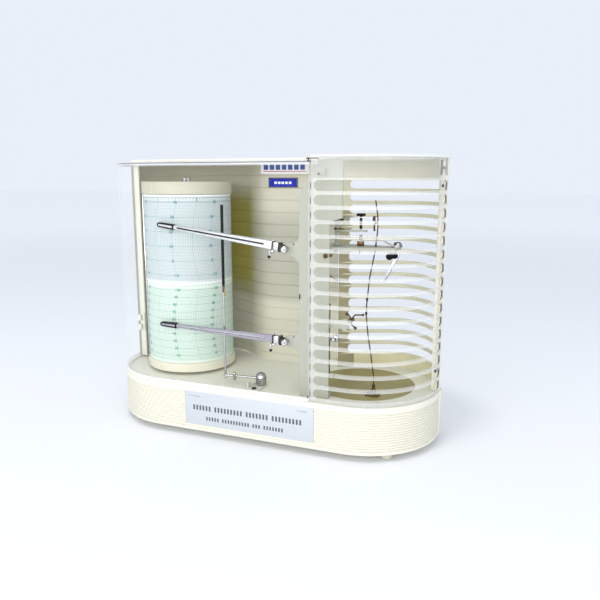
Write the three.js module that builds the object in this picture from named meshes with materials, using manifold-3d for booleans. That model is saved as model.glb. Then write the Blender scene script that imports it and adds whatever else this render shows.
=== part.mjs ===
// Recording thermo-hygrometer: a chart drum, two pen arms and their sensing mechanism
// on a cream stadium-shaped base, under a hinged clear door and a louvred clear cover.
// Units are millimetres. +Z is up, +X to the right, the front faces -Y.
// The origin is on the floor, below the middle of the base.

import * as THREE from 'three';
import { mergeVertices } from 'three/addons/utils/BufferGeometryUtils.js';
import Module from 'manifold-3d';

const wasm = await Module();
wasm.setup();

// ---------------------------------------------------------------- driving dimensions

const GAP = 0.3;                  // clearance kept between neighbouring solids
const END_X = 98.5;               // centres of the base's two round ends, at y = 0
const BASE_R = 76.75;             // radius of those ends, and half the depth of the base
const BASE_WALL = 3;
const FEET_H = 6;
const FOOT_X = 137;
const FOOT_Y = 55;
const DECK_Z = 51;                // top of the deck inside the covers
const RIM_Z = 52.5;               // top of the rim that the covers stand on
const TOP_Z = 277.5;              // top of the whole instrument

const COVER_R = 75.9;             // outer radius of the clear covers
const COVER_T = 2.4;
const DOOR_TOP_Z = 272.8;
const HINGE_X = 65.6;
const HINGE_Y = -(COVER_R - COVER_T / 2);
const DOOR_EDGE_X = 67.2;
const LOUVRE_EDGE_X = 67.9;

const REAR_R = 76.2;              // outer radius of the rear housing's lobes
const REAR_T = 2.6;
const WAIST_Y = 37;               // inner face of the housing's waist
const REAR_SPLIT_X = 56;
const REAR_TOP_Z = 274.9;
const DRUM_LOBE_X = -100.1;       // centre of the housing's lobe round the drum
const DRUM_LOBE_R = 72;           // inner radius of that lobe

const LEFT_JAMB_X = 174.6;         // outer edge of the upright that closes the left side
const JAMB_T = 3.4;               // how far both side uprights reach behind y = 0

const SLOT_PITCH = 12.65;
const SLOT_H = 8.8;
const SLOT_TOP_Z = 251.1;         // height of the middle of the highest slot
const FRONT_SLOTS = 16;
const REAR_SLOTS = 15;
const SLOT_LEFT_X = 71;
const REAR_SLOT_STOP = 4;         // steps of the round end left solid beside the right upright

const DRUM_X = -103.25;
const DRUM_R = 46;
const CAP_R = 48;
const DRUM_BOTTOM_Z = 54;
const CHART_BOTTOM_Z = 63.7;
const CHART_TOP_Z = 240.7;
const WEB_Z = 250.5;              // top of the drum cap's sunken web
const DRUM_TOP_Z = 254;
const SPINDLE_R = 3;
const SUN_TEETH = 48;
const PINION_TEETH = 12;
const GEAR_MODULE = 0.6;

const PLATE_Y = -57;              // middle of the pen plate
const PLATE_T = 2.4;
const PEN_X = 38.7;               // pivot axes of both pens
const PEN_Y = -62.5;
const TEMP_Z = 192.7;
const HUMID_Z = 104.3;
const PEN_LENGTH = 149.4;
const TEMP_SLOPE = THREE.MathUtils.degToRad(6.6);
const HUMID_SLOPE = THREE.MathUtils.degToRad(0.5);
const PEN_TOE_IN = THREE.MathUtils.degToRad(4.7);
const PEN_RISE = 1.2;             // the arms lie this far above their pivots
const PEN_ROOT = 14.4;            // distance from the pivot to the arm's root
const NIB_LENGTH = 21;
const PIVOT_R = 1.5;
const BORE_PLAY = 0.2;

const MECH_Y = -32;               // plane of the sensing mechanism
const SHELF_Z = 193;              // underside of the shelf that carries the sensors
const ROD_X = 76.6;               // upright rod beside the sensing mechanism
const HOOK_X = 94.4;              // pivot of the hair's hook lever
const HOOK_Z = 124;
const LIFTER = [4.5, -46.5];      // centre of the lifter's knob in plan
const LIFTER_ROD = [-34, -50.2];

// ---------------------------------------------------------------- materials

function material(color, roughness, metalness = 0, opacity = 1) {
  return new THREE.MeshStandardMaterial({ color, roughness, metalness, opacity, transparent: opacity < 1 });
}

const cream = material(0xf1eedd, 0.45);
const housingCream = material(0xd9d6bf, 0.5);
const plateCream = material(0xdcdfd0, 0.5);
const drumCream = material(0xe6e2cd, 0.45);
const clear = material(0xf4f8fb, 0.05, 0, 0.3);
const rubber = material(0xe9e6d8, 0.8);
const paper = material(0xe4eeee, 0.85);
const steel = material(0xd2d4d6, 0.22, 1);
const darkSteel = material(0x35302c, 0.4, 0.8);
const brass = material(0xc2a15a, 0.3, 1);
const black = material(0x141414, 0.4);
const labelBlue = material(0xc3cfdf, 0.5);
const badgeWhite = material(0xf4f4f2, 0.5);
const badgeBlue = material(0x1c2fb4, 0.4);
const hairBrown = material(0x5a3418, 0.7);

const instrument = new THREE.Group();

function add(name, geometry, surface) {
  const mesh = new THREE.Mesh(geometry, surface);
  mesh.name = name;
  instrument.add(mesh);
  return mesh;
}

// ---------------------------------------------------------------- shape helpers

function arc(cx, cy, r, fromDeg, toDeg, steps) {
  const points = [];
  for (let i = 0; i <= steps; i += 1) {
    const a = THREE.MathUtils.degToRad(fromDeg + ((toDeg - fromDeg) * i) / steps);
    points.push([cx + r * Math.cos(a), cy + r * Math.sin(a)]);
  }
  return points;
}

function shapeOf(points) {
  return new THREE.Shape(points.map(([x, y]) => new THREE.Vector2(x, y)));
}

// A flat outline in X and Y, standing from z0 to z1.
function slab(points, z0, z1) {
  const options = { depth: z1 - z0, bevelEnabled: false };
  return new THREE.ExtrudeGeometry(shapeOf(points), options).translate(0, 0, z0);
}

// A flat outline in X and Z, running from y0 back to y1.
function wall(points, y0, y1) {
  const options = { depth: y1 - y0, bevelEnabled: false };
  return new THREE.ExtrudeGeometry(shapeOf(points), options).rotateX(Math.PI / 2).translate(0, y1, 0);
}

function box(x0, x1, y0, y1, z0, z1) {
  const geometry = new THREE.BoxGeometry(x1 - x0, y1 - y0, z1 - z0);
  return geometry.translate((x0 + x1) / 2, (y0 + y1) / 2, (z0 + z1) / 2);
}

// A turned piece about the Z axis through (x, y). The profile is a list of [radius, z].
function turned(profile, x, y, segments = 24) {
  const closed = [...profile];
  if (profile[0][0] > 0) {
    closed.push(profile[0]);
  }
  const points = closed.map(([r, z]) => new THREE.Vector2(r, z));
  return new THREE.LatheGeometry(points, segments).rotateX(Math.PI / 2).translate(x, y, 0);
}

function disc(r, x, y, z0, z1, segments = 20) {
  return turned([[0, z0], [r, z0], [r, z1], [0, z1]], x, y, segments);
}

function ring(inner, outer, x, y, z0, z1, segments = 48) {
  return turned([[inner, z0], [outer, z0], [outer, z1], [inner, z1]], x, y, segments);
}

// A round bar between two points.
function bar(from, to, r, segments = 10) {
  const a = new THREE.Vector3(...from);
  const b = new THREE.Vector3(...to);
  const along = b.clone().sub(a);
  const upright = new THREE.Vector3(0, 1, 0);
  const turn = new THREE.Quaternion().setFromUnitVectors(upright, along.clone().normalize());
  const geometry = new THREE.CylinderGeometry(r, r, along.length(), segments);
  const middle = a.clone().add(b).multiplyScalar(0.5);
  return geometry.applyQuaternion(turn).translate(middle.x, middle.y, middle.z);
}

// A round wire that follows a smooth curve through the points.
function wire(points, r, steps, sides = 6) {
  const knots = points.map((p) => new THREE.Vector3(...p));
  const curve = new THREE.CatmullRomCurve3(knots, false, 'centripetal');
  const section = shapeOf(arc(0, 0, r, 0, 360, sides).slice(0, -1));
  return new THREE.ExtrudeGeometry(section, { steps, extrudePath: curve, bevelEnabled: false });
}

function solid(geometry) {
  const bare = geometry.clone();
  bare.deleteAttribute('normal');
  bare.deleteAttribute('uv');
  const merged = mergeVertices(bare, 1e-5);
  return new wasm.Manifold(new wasm.Mesh({
    numProp: 3,
    vertProperties: new Float32Array(merged.attributes.position.array),
    triVerts: new Uint32Array(merged.index.array),
  }));
}

function geometryOf(manifold) {
  const mesh = manifold.getMesh();
  const geometry = new THREE.BufferGeometry();
  geometry.setAttribute('position', new THREE.BufferAttribute(new Float32Array(mesh.vertProperties), 3));
  geometry.setIndex(new THREE.BufferAttribute(new Uint32Array(mesh.triVerts), 1));
  geometry.computeVertexNormals();
  return geometry;
}

function joined(...parts) {
  return geometryOf(parts.map(solid).reduce((whole, part) => whole.add(part)));
}

function cut(body, ...tools) {
  return geometryOf(tools.map(solid).reduce((left, tool) => left.subtract(tool), solid(body)));
}

// The base's outline: two round ends joined by straight sides.
function stadium(r, steps = 18) {
  return [...arc(END_X, 0, r, -90, 90, steps), ...arc(-END_X, 0, r, 90, 270, steps)];
}

// A strip in plan between an outer and an inner line that run the same way.
function strip(outer, inner) {
  return [...outer, ...[...inner].reverse()];
}

// ---------------------------------------------------------------- base

function buildBase() {
  const outside = slab(stadium(BASE_R), FEET_H, RIM_Z);
  const underside = slab(stadium(BASE_R - BASE_WALL), FEET_H - 1, DECK_Z - BASE_WALL);
  const aboveDeck = slab(stadium(BASE_R - BASE_WALL), DECK_Z, RIM_Z + 1);
  const tray = cut(outside, underside, aboveDeck);
  const hingeStub = bar([HINGE_X, HINGE_Y, RIM_Z - 1], [HINGE_X, HINGE_Y, RIM_Z + 5], 0.6, 8);
  const labelPocket = box(-66.3, 72.3, -BASE_R - 1, -BASE_R + 0.8, 12.4, 48.5);
  add('base_shell', cut(joined(tray, hingeStub), labelPocket), cream);

  add('bottom_plate', slab(stadium(BASE_R - BASE_WALL - GAP), FEET_H, FEET_H + 2.5), cream);

  const footProfile = [[0, 0], [5.2, 0], [6, 1], [6, FEET_H - GAP], [0, FEET_H - GAP]];
  for (const [sideName, x] of [['left', -FOOT_X], ['right', FOOT_X]]) {
    for (const [endName, y] of [['front', -FOOT_Y], ['rear', FOOT_Y]]) {
      add(`foot_${endName}_${sideName}`, turned(footProfile, x, y, 16), rubber);
    }
  }

  const face = -BASE_R;
  add('front_label', box(-66, 72, face + 0.05, face + 0.5, 12.7, 48.2), labelBlue);
}

// ---------------------------------------------------------------- rear housing

// Half a wall's plan, as a line offset outwards from the housing's inner face.
function drumLobeLine(offset) {
  const lobe = arc(DRUM_LOBE_X, 0, DRUM_LOBE_R + offset, 180, 48, 16);
  const neck = new THREE.CubicBezierCurve(
    new THREE.Vector2(...lobe[lobe.length - 1]),
    new THREE.Vector2(-38, 43 + offset),
    new THREE.Vector2(-32, WAIST_Y + offset),
    new THREE.Vector2(-16, WAIST_Y + offset),
  );
  const blend = neck.getPoints(6).slice(1).map((p) => [p.x, p.y]);
  return [...lobe, ...blend, [44 - offset * 0.2, WAIST_Y + offset], [REAR_SPLIT_X - GAP, 42.1 + offset]];
}

function louvreLobeLine(offset) {
  const start = [REAR_SPLIT_X, 42.3 + offset];
  const shoulder = [66 - offset * 0.3, 47.5 + offset];
  return [start, shoulder, ...arc(END_X, 0, REAR_R - REAR_T + offset, 72, 0, 14)];
}

function slotLevel(i) {
  return SLOT_TOP_Z - SLOT_PITCH * i;
}

function buildRearHousing() {
  const floor = RIM_Z + GAP;
  const drumWall = slab(strip(drumLobeLine(REAR_T), drumLobeLine(0)), floor, REAR_TOP_Z - GAP);
  const leftJamb = box(-LEFT_JAMB_X, 9 - LEFT_JAMB_X, GAP, JAMB_T, floor, REAR_TOP_Z - GAP);
  add('rear_drum_shell', joined(drumWall, leftJamb), housingCream);

  const louvreLine = louvreLobeLine(REAR_T);
  const louvreWall = slab(strip(louvreLine, louvreLobeLine(0)), floor, REAR_TOP_Z - GAP);
  const slots = [];
  for (let i = 0; i < REAR_SLOTS; i += 1) {
    const z = slotLevel(i);
    const outer = louvreLobeLine(REAR_T + 2).slice(1, -REAR_SLOT_STOP);
    const inner = louvreLobeLine(-2).slice(1, -REAR_SLOT_STOP);
    slots.push(slab(strip(outer, inner), z - SLOT_H / 2, z + SLOT_H / 2));
  }
  const slotted = cut(louvreWall, ...slots);
  const rightJamb = box(REAR_R + END_X - 8.1, REAR_R + END_X, GAP, JAMB_T, floor, REAR_TOP_Z - GAP);
  add('rear_louvre_shell', joined(slotted, rightJamb), housingCream);

  const right = arc(END_X, 0, REAR_R, 0, 90, 18);
  const left = arc(-END_X, 0, REAR_R, 90, 180, 18);
  right[0][1] = GAP;
  left[left.length - 1][1] = GAP;
  add('rear_top_plate', slab([...right, ...left], REAR_TOP_Z, TOP_Z), cream);

  add('badge_white', box(-32, 24, WAIST_Y - 0.8, WAIST_Y - 0.3, 262, 273), badgeWhite);
  add('badge_blue', box(-23, 11, WAIST_Y - 0.8, WAIST_Y - 0.3, 247.5, 258), badgeBlue);

  const keeperX = 3.1 - LEFT_JAMB_X;
  const bumps = [88, 99].map((z) => box(keeperX, keeperX + 3.5, -5.5, -0.8, z - 3.4, z + 3.4));
  const backing = box(keeperX, keeperX + 5.9, -1.2, 0, 83, 104);
  add('latch_keeper', joined(backing, ...bumps), cream);
}

// ---------------------------------------------------------------- clear covers

function frontLine(r, fromX) {
  return [[fromX, -r], ...arc(END_X, 0, r, -90, 0, 15)];
}

function doorLine(r) {
  return [[DOOR_EDGE_X, -r], ...arc(-END_X, 0, r, -90, -180, 15)];
}

function buildCovers() {
  const floor = RIM_Z + GAP;
  const roof = TOP_Z - COVER_T;
  const outer = frontLine(COVER_R, LOUVRE_EDGE_X);
  const inner = frontLine(COVER_R - COVER_T, LOUVRE_EDGE_X);
  const cover = slab(strip(outer, inner), floor, roof - GAP);
  const slots = [];
  for (let i = 0; i < FRONT_SLOTS; i += 1) {
    const z = slotLevel(i);
    const plan = strip(frontLine(COVER_R + 2, SLOT_LEFT_X).slice(0, -1),
      frontLine(COVER_R - COVER_T - 2, SLOT_LEFT_X).slice(0, -1));
    slots.push(slab(plan, z - SLOT_H / 2, z + SLOT_H / 2));
  }
  add('louvre_cover', cut(cover, ...slots), clear);

  const lid = frontLine(COVER_R, LOUVRE_EDGE_X);
  add('louvre_lid', slab([...lid, [LOUVRE_EDGE_X, 0]], roof, TOP_Z), clear);

  const doorRoof = DOOR_TOP_Z - COVER_T;
  const panel = slab(strip(doorLine(COVER_R), doorLine(COVER_R - COVER_T)), floor, doorRoof - GAP);
  const pinHoles = bar([HINGE_X, HINGE_Y, floor - 1], [HINGE_X, HINGE_Y, floor + 6], 0.8, 8);
  add('door_panel', cut(panel, pinHoles), clear);

  const top = slab([...doorLine(COVER_R), [DOOR_EDGE_X, 0]], doorRoof, DOOR_TOP_Z);
  const topHole = bar([HINGE_X, HINGE_Y, doorRoof - 1], [HINGE_X, HINGE_Y, DOOR_TOP_Z + 1], 0.8, 8);
  add('door_top', cut(top, topHole), clear);

  const upperPin = bar([HINGE_X, HINGE_Y, doorRoof + 0.2], [HINGE_X, HINGE_Y, DOOR_TOP_Z + 1.2], 0.6, 8);
  const armZ = [DOOR_TOP_Z + 1.1, roof - GAP];
  const overDoor = box(HINGE_X - 1.6, DOOR_EDGE_X + 0.2, HINGE_Y - 1.2, HINGE_Y + 5, ...armZ);
  const underLid = box(HINGE_X - 1.6, LOUVRE_EDGE_X + 6, HINGE_Y + 2, HINGE_Y + 5, ...armZ);
  add('hinge_pin', joined(upperPin, overDoor, underLid), darkSteel);
}

// ---------------------------------------------------------------- chart drum

function gearOutline(teeth, phase) {
  const pitchR = (GEAR_MODULE * teeth) / 2;
  const points = [];
  for (let i = 0; i < teeth; i += 1) {
    const middle = phase + (i * 2 * Math.PI) / teeth;
    const step = (2 * Math.PI) / teeth;
    const tip = pitchR + GEAR_MODULE * 0.8;
    const root = pitchR - GEAR_MODULE * 1.1;
    for (const [r, a] of [[root, -0.27], [tip, -0.11], [tip, 0.11], [root, 0.27]]) {
      points.push([r * Math.cos(middle + a * step), r * Math.sin(middle + a * step)]);
    }
  }
  return points;
}

function buildDrum() {
  const tubeBottom = DRUM_BOTTOM_Z + 2.1;
  add('drum_shell', ring(DRUM_R - 1.8, DRUM_R, DRUM_X, 0, tubeBottom, CHART_TOP_Z + 0.2), drumCream);
  add('chart_paper', ring(DRUM_R + 0.15, DRUM_R + 0.5, DRUM_X, 0, CHART_BOTTOM_Z, CHART_TOP_Z), paper);
  add('drum_cap', turned([
    [2.6, WEB_Z], [2.6, WEB_Z - 2], [DRUM_R - 2.2, WEB_Z - 2], [DRUM_R - 2.2, CHART_TOP_Z + 0.5],
    [CAP_R, CHART_TOP_Z + 0.5], [CAP_R, DRUM_TOP_Z], [CAP_R - 2.2, DRUM_TOP_Z], [CAP_R - 2.2, WEB_Z],
  ], DRUM_X, 0, 48), drumCream);
  add('drum_flange', turned([
    [8, DRUM_BOTTOM_Z], [CAP_R, DRUM_BOTTOM_Z], [CAP_R, CHART_BOTTOM_Z - 0.3],
    [DRUM_R + 0.3, CHART_BOTTOM_Z - 0.3], [DRUM_R + 0.3, DRUM_BOTTOM_Z + 1.8], [8, DRUM_BOTTOM_Z + 1.8],
  ], DRUM_X, 0, 48), drumCream);
  add('drum_bush', ring(SPINDLE_R + 0.05, 6, DRUM_X, 0, 236, 248.2, 20), brass);

  const clip = box(DRUM_R + 0.8, DRUM_R + 1.5, -3, 3, 64, 240.8).rotateZ(THREE.MathUtils.degToRad(-147));
  add('chart_clip', clip.translate(DRUM_X, 0, 0), steel);

  add('clock_case', ring(8, 31, DRUM_X, 0, tubeBottom, 98, 32), black);
  add('battery', disc(7.1, DRUM_X + 22, 0, 98 + GAP, 148, 16), badgeBlue);

  add('drum_spindle', turned([
    [0, DECK_Z + GAP], [7, DECK_Z + GAP], [7, 53.4], [SPINDLE_R, 53.4], [SPINDLE_R, 248.2],
    [1.9, 248.2], [1.9, 255.4], [0, 255.4],
  ], DRUM_X, 0, 20), steel);
  add('thumb_nut', turned([
    [0, 256], [2.1, 256], [2.1, 250.9], [3.1, 250.9], [3.1, 253.8], [3.9, 254.2],
    [3.9, 257.7], [3.3, 258.2], [0, 258.2],
  ], DRUM_X, 0, 20), steel);

  const sunR = (GEAR_MODULE * SUN_TEETH) / 2;
  const pinionR = (GEAR_MODULE * PINION_TEETH) / 2;
  const sun = cut(slab(gearOutline(SUN_TEETH, 0), 100, 105), disc(SPINDLE_R + 0.02, 0, 0, 99, 106, 20));
  add('centre_gear', sun.translate(DRUM_X, 0, 0), brass);

  const mesh = Math.PI / PINION_TEETH;
  const pinion = joined(
    slab(gearOutline(PINION_TEETH, mesh), 99.8, 105.2),
    disc(1.2, 0, 0, 98.3, 107, 10),
  );
  add('clock_pinion', pinion.translate(DRUM_X - sunR - pinionR - 0.15, 0, 0), brass);
}

// ---------------------------------------------------------------- pen plate

function buildPenPlate() {
  const top = 274;
  const outline = [
    [50.5, DECK_Z + GAP], [50.5, 88], [46, 95.5], [36.5, 99.4], [35, 101], [35, 108], [36.5, 109.4],
    [46, 110.5], [50.5, 117], [50.5, 178.5], [46, 186], [36.5, 188.6], [35, 190.2], [35, 195.4],
    [36.5, 196.8], [45.5, 199], [50.5, 207], [50.5, 240], [53, 248], [58.5, 256], [63, 262],
    [64, DOOR_TOP_Z - 3], [68.5, DOOR_TOP_Z - 3], [68.5, top],
    [92, top], [92, 197], [80, 190], [80, DECK_Z + GAP],
  ];
  const y0 = PLATE_Y - PLATE_T / 2;
  const y1 = PLATE_Y + PLATE_T / 2;
  const upright = wall(outline, y0, y1);
  const foot = box(52, 79, y1 - 0.5, y1 + 12, DECK_Z + GAP, DECK_Z + 3);
  const gusset = slab([[0, 0], [11, 0], [0, 13]], -1, 1);
  const standing = gusset.rotateX(Math.PI / 2).rotateZ(Math.PI / 2).translate(66, y1 - 0.2, DECK_Z + 2.9);
  const boreR = PIVOT_R + BORE_PLAY;
  const holes = [TEMP_Z, HUMID_Z].map((z) => bar([PEN_X, y0 - 1, z], [PEN_X, y1 + 1, z], boreR, 12));
  add('pen_plate', cut(joined(upright, foot, standing), ...holes), plateCream);
}

// ---------------------------------------------------------------- pens

// One pen: its arm lies along -X from the pivot, rising by the slope and toeing in to the chart.
function buildPen(prefix, pivotZ, slope, crank) {
  const pivot = new THREE.Vector3(PEN_X, 0, pivotZ);
  const plateBack = PLATE_Y + PLATE_T / 2;

  const shaft = bar([pivot.x, PEN_Y - 3.6, pivotZ], [pivot.x, plateBack + 6, pivotZ], PIVOT_R, 12);
  const knob = bar([pivot.x, PEN_Y - 5.6, pivotZ], [pivot.x, PEN_Y - 1.4, pivotZ], 3.1, 16);
  add(`${prefix}_spindle`, joined(shaft, knob), steel);

  const collarY = plateBack + 0.6;
  const boss = bar([pivot.x, collarY, pivotZ], [pivot.x, collarY + 4.4, pivotZ], 3.4, 14);
  const [endX, endZ] = crank;
  const arm = wall([
    [pivot.x, pivotZ - 1.8], [endX, endZ - 1.3], [endX, endZ + 1.3], [pivot.x, pivotZ + 1.8],
  ], collarY + 2.4, collarY + 4);
  const bore = bar([pivot.x, collarY - 1, pivotZ], [pivot.x, collarY + 6, pivotZ], 1.56, 12);
  add(`${prefix}_crank`, cut(joined(boss, arm), bore), steel);

  const yoke = box(GAP * 2 - PEN_ROOT, -3.6, -2.6, 2.6, PEN_RISE - 3.4, PEN_RISE + 3.4);
  const stem = box(-4, 2.4, -2.2, 2.2, -2.2, 2.2);
  const yokeBore = bar([0, -8, 0], [0, 8, 0], 1.6, 12);
  const place = (geometry) => geometry.rotateY(slope).translate(pivot.x, PEN_Y + 0.9, pivotZ);
  const knobRoom = bar([0, -8, 0], [0, -2.1, 0], 3.3, 16);
  add(`${prefix}_yoke`, place(cut(joined(yoke, stem), yokeBore, knobRoom)), steel);

  const start = -PEN_ROOT;
  const end = NIB_LENGTH - PEN_LENGTH;
  const lean = (geometry) => place(geometry.translate(0, 0, PEN_RISE).rotateZ(-PEN_TOE_IN));
  const blade = wall([[start, -4.2], [start, 4.2], [end, 2.1], [end, -2.1]], -1.3, 1.3);
  const groove = wall([[start - 18, -1.1], [start - 18, 1.1], [end - 1, 0.7], [end - 1, -0.7]], -1.5, -0.4);
  add(`${prefix}_arm`, lean(cut(blade, groove)), steel);

  const nib = wall([
    ...arc(-(PEN_LENGTH - 2.6), 0, 2.5, 90, 270, 8),
    [end + 1.8, -2.9], [end + 1.8, -2.3 - GAP * 2], [end - GAP, -2.3 - GAP], [end - GAP, 2.3 + GAP],
    [end + 1.8, 2.3 + GAP * 2], [end + 1.8, 2.9],
  ], -1.7, 1.7);
  add(`${prefix}_pen`, lean(nib), black);

  const screwX = start - 1.6;
  const screw = [
    bar([screwX, -1.6, -5.2], [screwX, -4.4, -5.2], 2, 12),
    bar([screwX, -3, -5.2], [screwX, -3, -10.4], 0.8, 8),
    bar([screwX, -3, -9.6], [screwX, -3, -13.4], 1.8, 12),
    box(screwX - 1, screwX + 1, -2.8, -1.6, -5.4, 4.8),
  ];
  add(`${prefix}_gate_screw`, lean(joined(...screw)), steel);
}

// ---------------------------------------------------------------- pen lifter

function buildLifter() {
  const [postX, postY] = LIFTER;
  const [rodX, rodY] = LIFTER_ROD;
  const leverZ = DECK_Z + 7;
  const post = disc(2, postX, postY, DECK_Z + 1.5, DECK_Z + 13, 12);
  const foot = box(postX - 9, postX + 5, postY - 19, postY + 4, DECK_Z + GAP, DECK_Z + 1.6);
  const stop = box(postX - 9, postX - 7.6, postY - 12, postY - 4, DECK_Z + 1, DECK_Z + 5);
  add('lifter_foot', joined(foot, post, stop), steel);

  const lever = bar([rodX, rodY, leverZ], [postX - 5.8, postY - 0.5, leverZ], 1.2, 8);
  const upright = bar([rodX, rodY, leverZ - 1.2], [rodX, rodY, 144.6], 1.1, 10);
  const collar = disc(2, rodX, rodY, leverZ - 2.4, leverZ + 1.8, 12);
  const clamp = bar([rodX + 10, rodY + 0.6, leverZ - 2.4], [rodX + 10, rodY + 0.6, leverZ + 3.6], 1.7, 10);
  add('lifter_rod', joined(lever, upright, collar, clamp), steel);
  add('lifter_sleeve', bar([rodX, rodY, 145], [rodX, rodY, 232], 1.7, 12), black);

  const knob = turned([
    [0, leverZ + 6.3], [2.1, leverZ + 6.3], [2.1, leverZ - 4.4], [5.4, leverZ - 4.4], [5.4, leverZ + 2.6],
    [4.6, leverZ + 5.4], [2.6, leverZ + 7.2], [0, leverZ + 7.6],
  ], postX, postY, 20);
  add('lifter_knob', knob, steel);
}

// ---------------------------------------------------------------- sensing mechanism

function buildMechanism() {
  const y = MECH_Y;
  const back = PLATE_Y + PLATE_T / 2 + GAP;
  const shelfZ = SHELF_Z;
  const shelf = slab([
    [62, back], [112, back + 6], ...arc(130.5, y + 2, 9, -70, 70, 6), [112, y + 12], [62, y + 16],
  ], shelfZ, shelfZ + 2.2);
  const flange = box(62, 78, back, back + 2, shelfZ - 9, shelfZ + 1);
  const clampBlock = box(130.6, 136.7, y - 7, y - 2, shelfZ - 3.2, shelfZ + 0.5);
  const hairRoom = disc(2.4, 115.6, y, shelfZ - 1, shelfZ + 4, 16);
  add('sensor_shelf', cut(joined(shelf, flange, clampBlock), hairRoom), plateCream);

  const shelfTop = shelfZ + 2.2 + GAP;
  const post = disc(2.4, 79, y, shelfTop, 217.4, 12);
  const arm = box(78, 108, y - 3.2, y + 3.2, 208.4, 210);
  add('clamp_post', joined(post, arm, disc(4, 79, y, shelfTop, shelfTop + 1.5, 16)), plateCream);
  const screwRoom = disc(1.6, 101.7, y, 207, 225, 12);
  const leverPlate = box(74, 113, y - 2.2, y + 2.2, 221.4, 222.6);
  const hub = disc(6, 79, y, 217.8, 221.6, 18);
  add('hair_lever', cut(joined(hub, leverPlate, disc(3, 79, y, 222.5, 224, 14)), screwRoom), darkSteel);
  add('lever_screw', joined(
    disc(1.3, 101.7, y, 211, 225.5, 12),
    disc(4.2, 101.7, y, 223, 225.2, 16),
  ), black);
  add('screw_block', joined(
    box(98.4, 105, y - 3, y + 3, shelfTop, 200.6),
    box(98.4, 124.6, y - 4.6, y - 1.6, 199.4, 200.6),
    bar([124, y - 3, 200], [132.6, y - 2, shelfTop + 1.6], 1, 8),
    disc(5, 136, y, shelfTop, shelfTop + 2, 16),
    disc(2.4, 136, y, shelfTop + 2, shelfTop + 5, 12),
  ), steel);

  add('hair_clips', joined(
    box(114.3, 116.2, y - 2.4, y + 2.4, 209.6, 223),
    box(113.4, 116.2, y - 2.4, y + 2.4, 219.6, 223),
  ), darkSteel);
  const hair = [
    [115.2, y, 237.5], [117.3, y, 224], [117.5, y, 209], [115.5, y, 190], [111, y, 166],
    [108.6, y, 140], [108.4, y, 129.6], [110.5, y, 110.6], [113.8, y, 91], [116.8, y, 70],
    [117.2, y, 62.4],
  ];
  add('hair_element', wire(hair, 0.55, 22), hairBrown);
  add('hair_foot', joined(
    disc(2.2, 117.2, y, DECK_Z + 1.5, 62, 12),
    box(110, 123, y - 5, y + 5, DECK_Z + GAP, DECK_Z + 2),
  ), steel);

  add('hook_bracket', joined(
    box(90.4, 98.4, back, back + 1.6, 118, 130),
    bar([HOOK_X, back + 0.5, HOOK_Z], [HOOK_X, y - 3, HOOK_Z], 1.4, 12),
    box(79.6, 91, back, back + 1.6, 120, 128),
  ), steel);
  add('hook_lever', cut(joined(
    bar([HOOK_X, y - 7, HOOK_Z], [HOOK_X, y + 2, HOOK_Z], 3, 14),
    bar([HOOK_X, y, HOOK_Z + 1], [105.6, y, 129], 0.9, 8),
    bar([HOOK_X, y - 4, HOOK_Z - 1], [97.5, y - 4, 116], 0.9, 8),
    bar([HOOK_X, y - 1, HOOK_Z], [89.4, y - 1, 130], 0.9, 8),
  ), bar([HOOK_X, back, HOOK_Z], [HOOK_X, y - 2.6, HOOK_Z], 1.43, 12)), steel);
  add('counterweight', bar([84, back + 4.3, 108.5], [84, back + 11, 108.5], 3.2, 14), steel);

  add('bimetal_strip', wall([
    [137.9, SHELF_Z - 1.6], [140.1, SHELF_Z - 1.6], [126.4, 162.8], [84, 160.2],
    [64, 170], [64.4, 171], [84.3, 161.4], [125.6, 164.2],
  ], y - 6.6, y - 2.6), brass);

  add('guard_rod', joined(
    bar([ROD_X, y - 14, 73], [ROD_X, y - 14, 141], 0.9, 10),
    box(ROD_X - 1, ROD_X + 1, back, y - 13.4, 74, 76),
    box(ROD_X - 1, ROD_X + 1, back, y - 13.4, 138, 140),
  ), darkSteel);
}

// ---------------------------------------------------------------- whole instrument

buildBase();
buildRearHousing();
buildCovers();
buildDrum();
buildPenPlate();
buildPen('temp', TEMP_Z, TEMP_SLOPE, [57, 176]);
buildPen('humid', HUMID_Z, HUMID_SLOPE, [84, 108.5]);
buildLifter();
buildMechanism();

export default instrument;
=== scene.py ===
import bmesh
import bpy
import math
from mathutils import Matrix, Vector


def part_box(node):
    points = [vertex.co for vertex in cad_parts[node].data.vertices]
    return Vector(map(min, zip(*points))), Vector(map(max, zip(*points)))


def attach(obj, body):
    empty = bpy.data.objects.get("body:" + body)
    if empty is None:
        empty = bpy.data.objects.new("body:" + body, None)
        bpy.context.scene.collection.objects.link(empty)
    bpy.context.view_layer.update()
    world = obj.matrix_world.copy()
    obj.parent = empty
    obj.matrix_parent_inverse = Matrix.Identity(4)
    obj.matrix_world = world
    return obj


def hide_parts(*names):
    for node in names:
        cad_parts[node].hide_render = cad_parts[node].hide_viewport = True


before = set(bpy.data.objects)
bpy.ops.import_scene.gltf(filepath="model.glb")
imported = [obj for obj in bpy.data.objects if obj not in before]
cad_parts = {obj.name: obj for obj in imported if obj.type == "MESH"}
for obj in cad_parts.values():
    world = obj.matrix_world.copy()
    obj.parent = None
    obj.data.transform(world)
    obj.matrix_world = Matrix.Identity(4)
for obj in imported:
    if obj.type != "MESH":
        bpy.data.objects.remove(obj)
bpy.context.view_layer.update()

# Places and sizes are in millimetres. Shape.piece turns them into Blender's metres.
MM = 0.001
GAP = 0.3

# ------------------------------------------------------------------ places taken from the frame


def low(node):
    return Vector(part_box(node)[0]) / MM


def high(node):
    return Vector(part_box(node)[1]) / MM


def ends(node):
    return low(node), high(node)


def heights(node):
    return low(node).z, high(node).z


def middle(node):
    return (low(node) + high(node)) / 2


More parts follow.
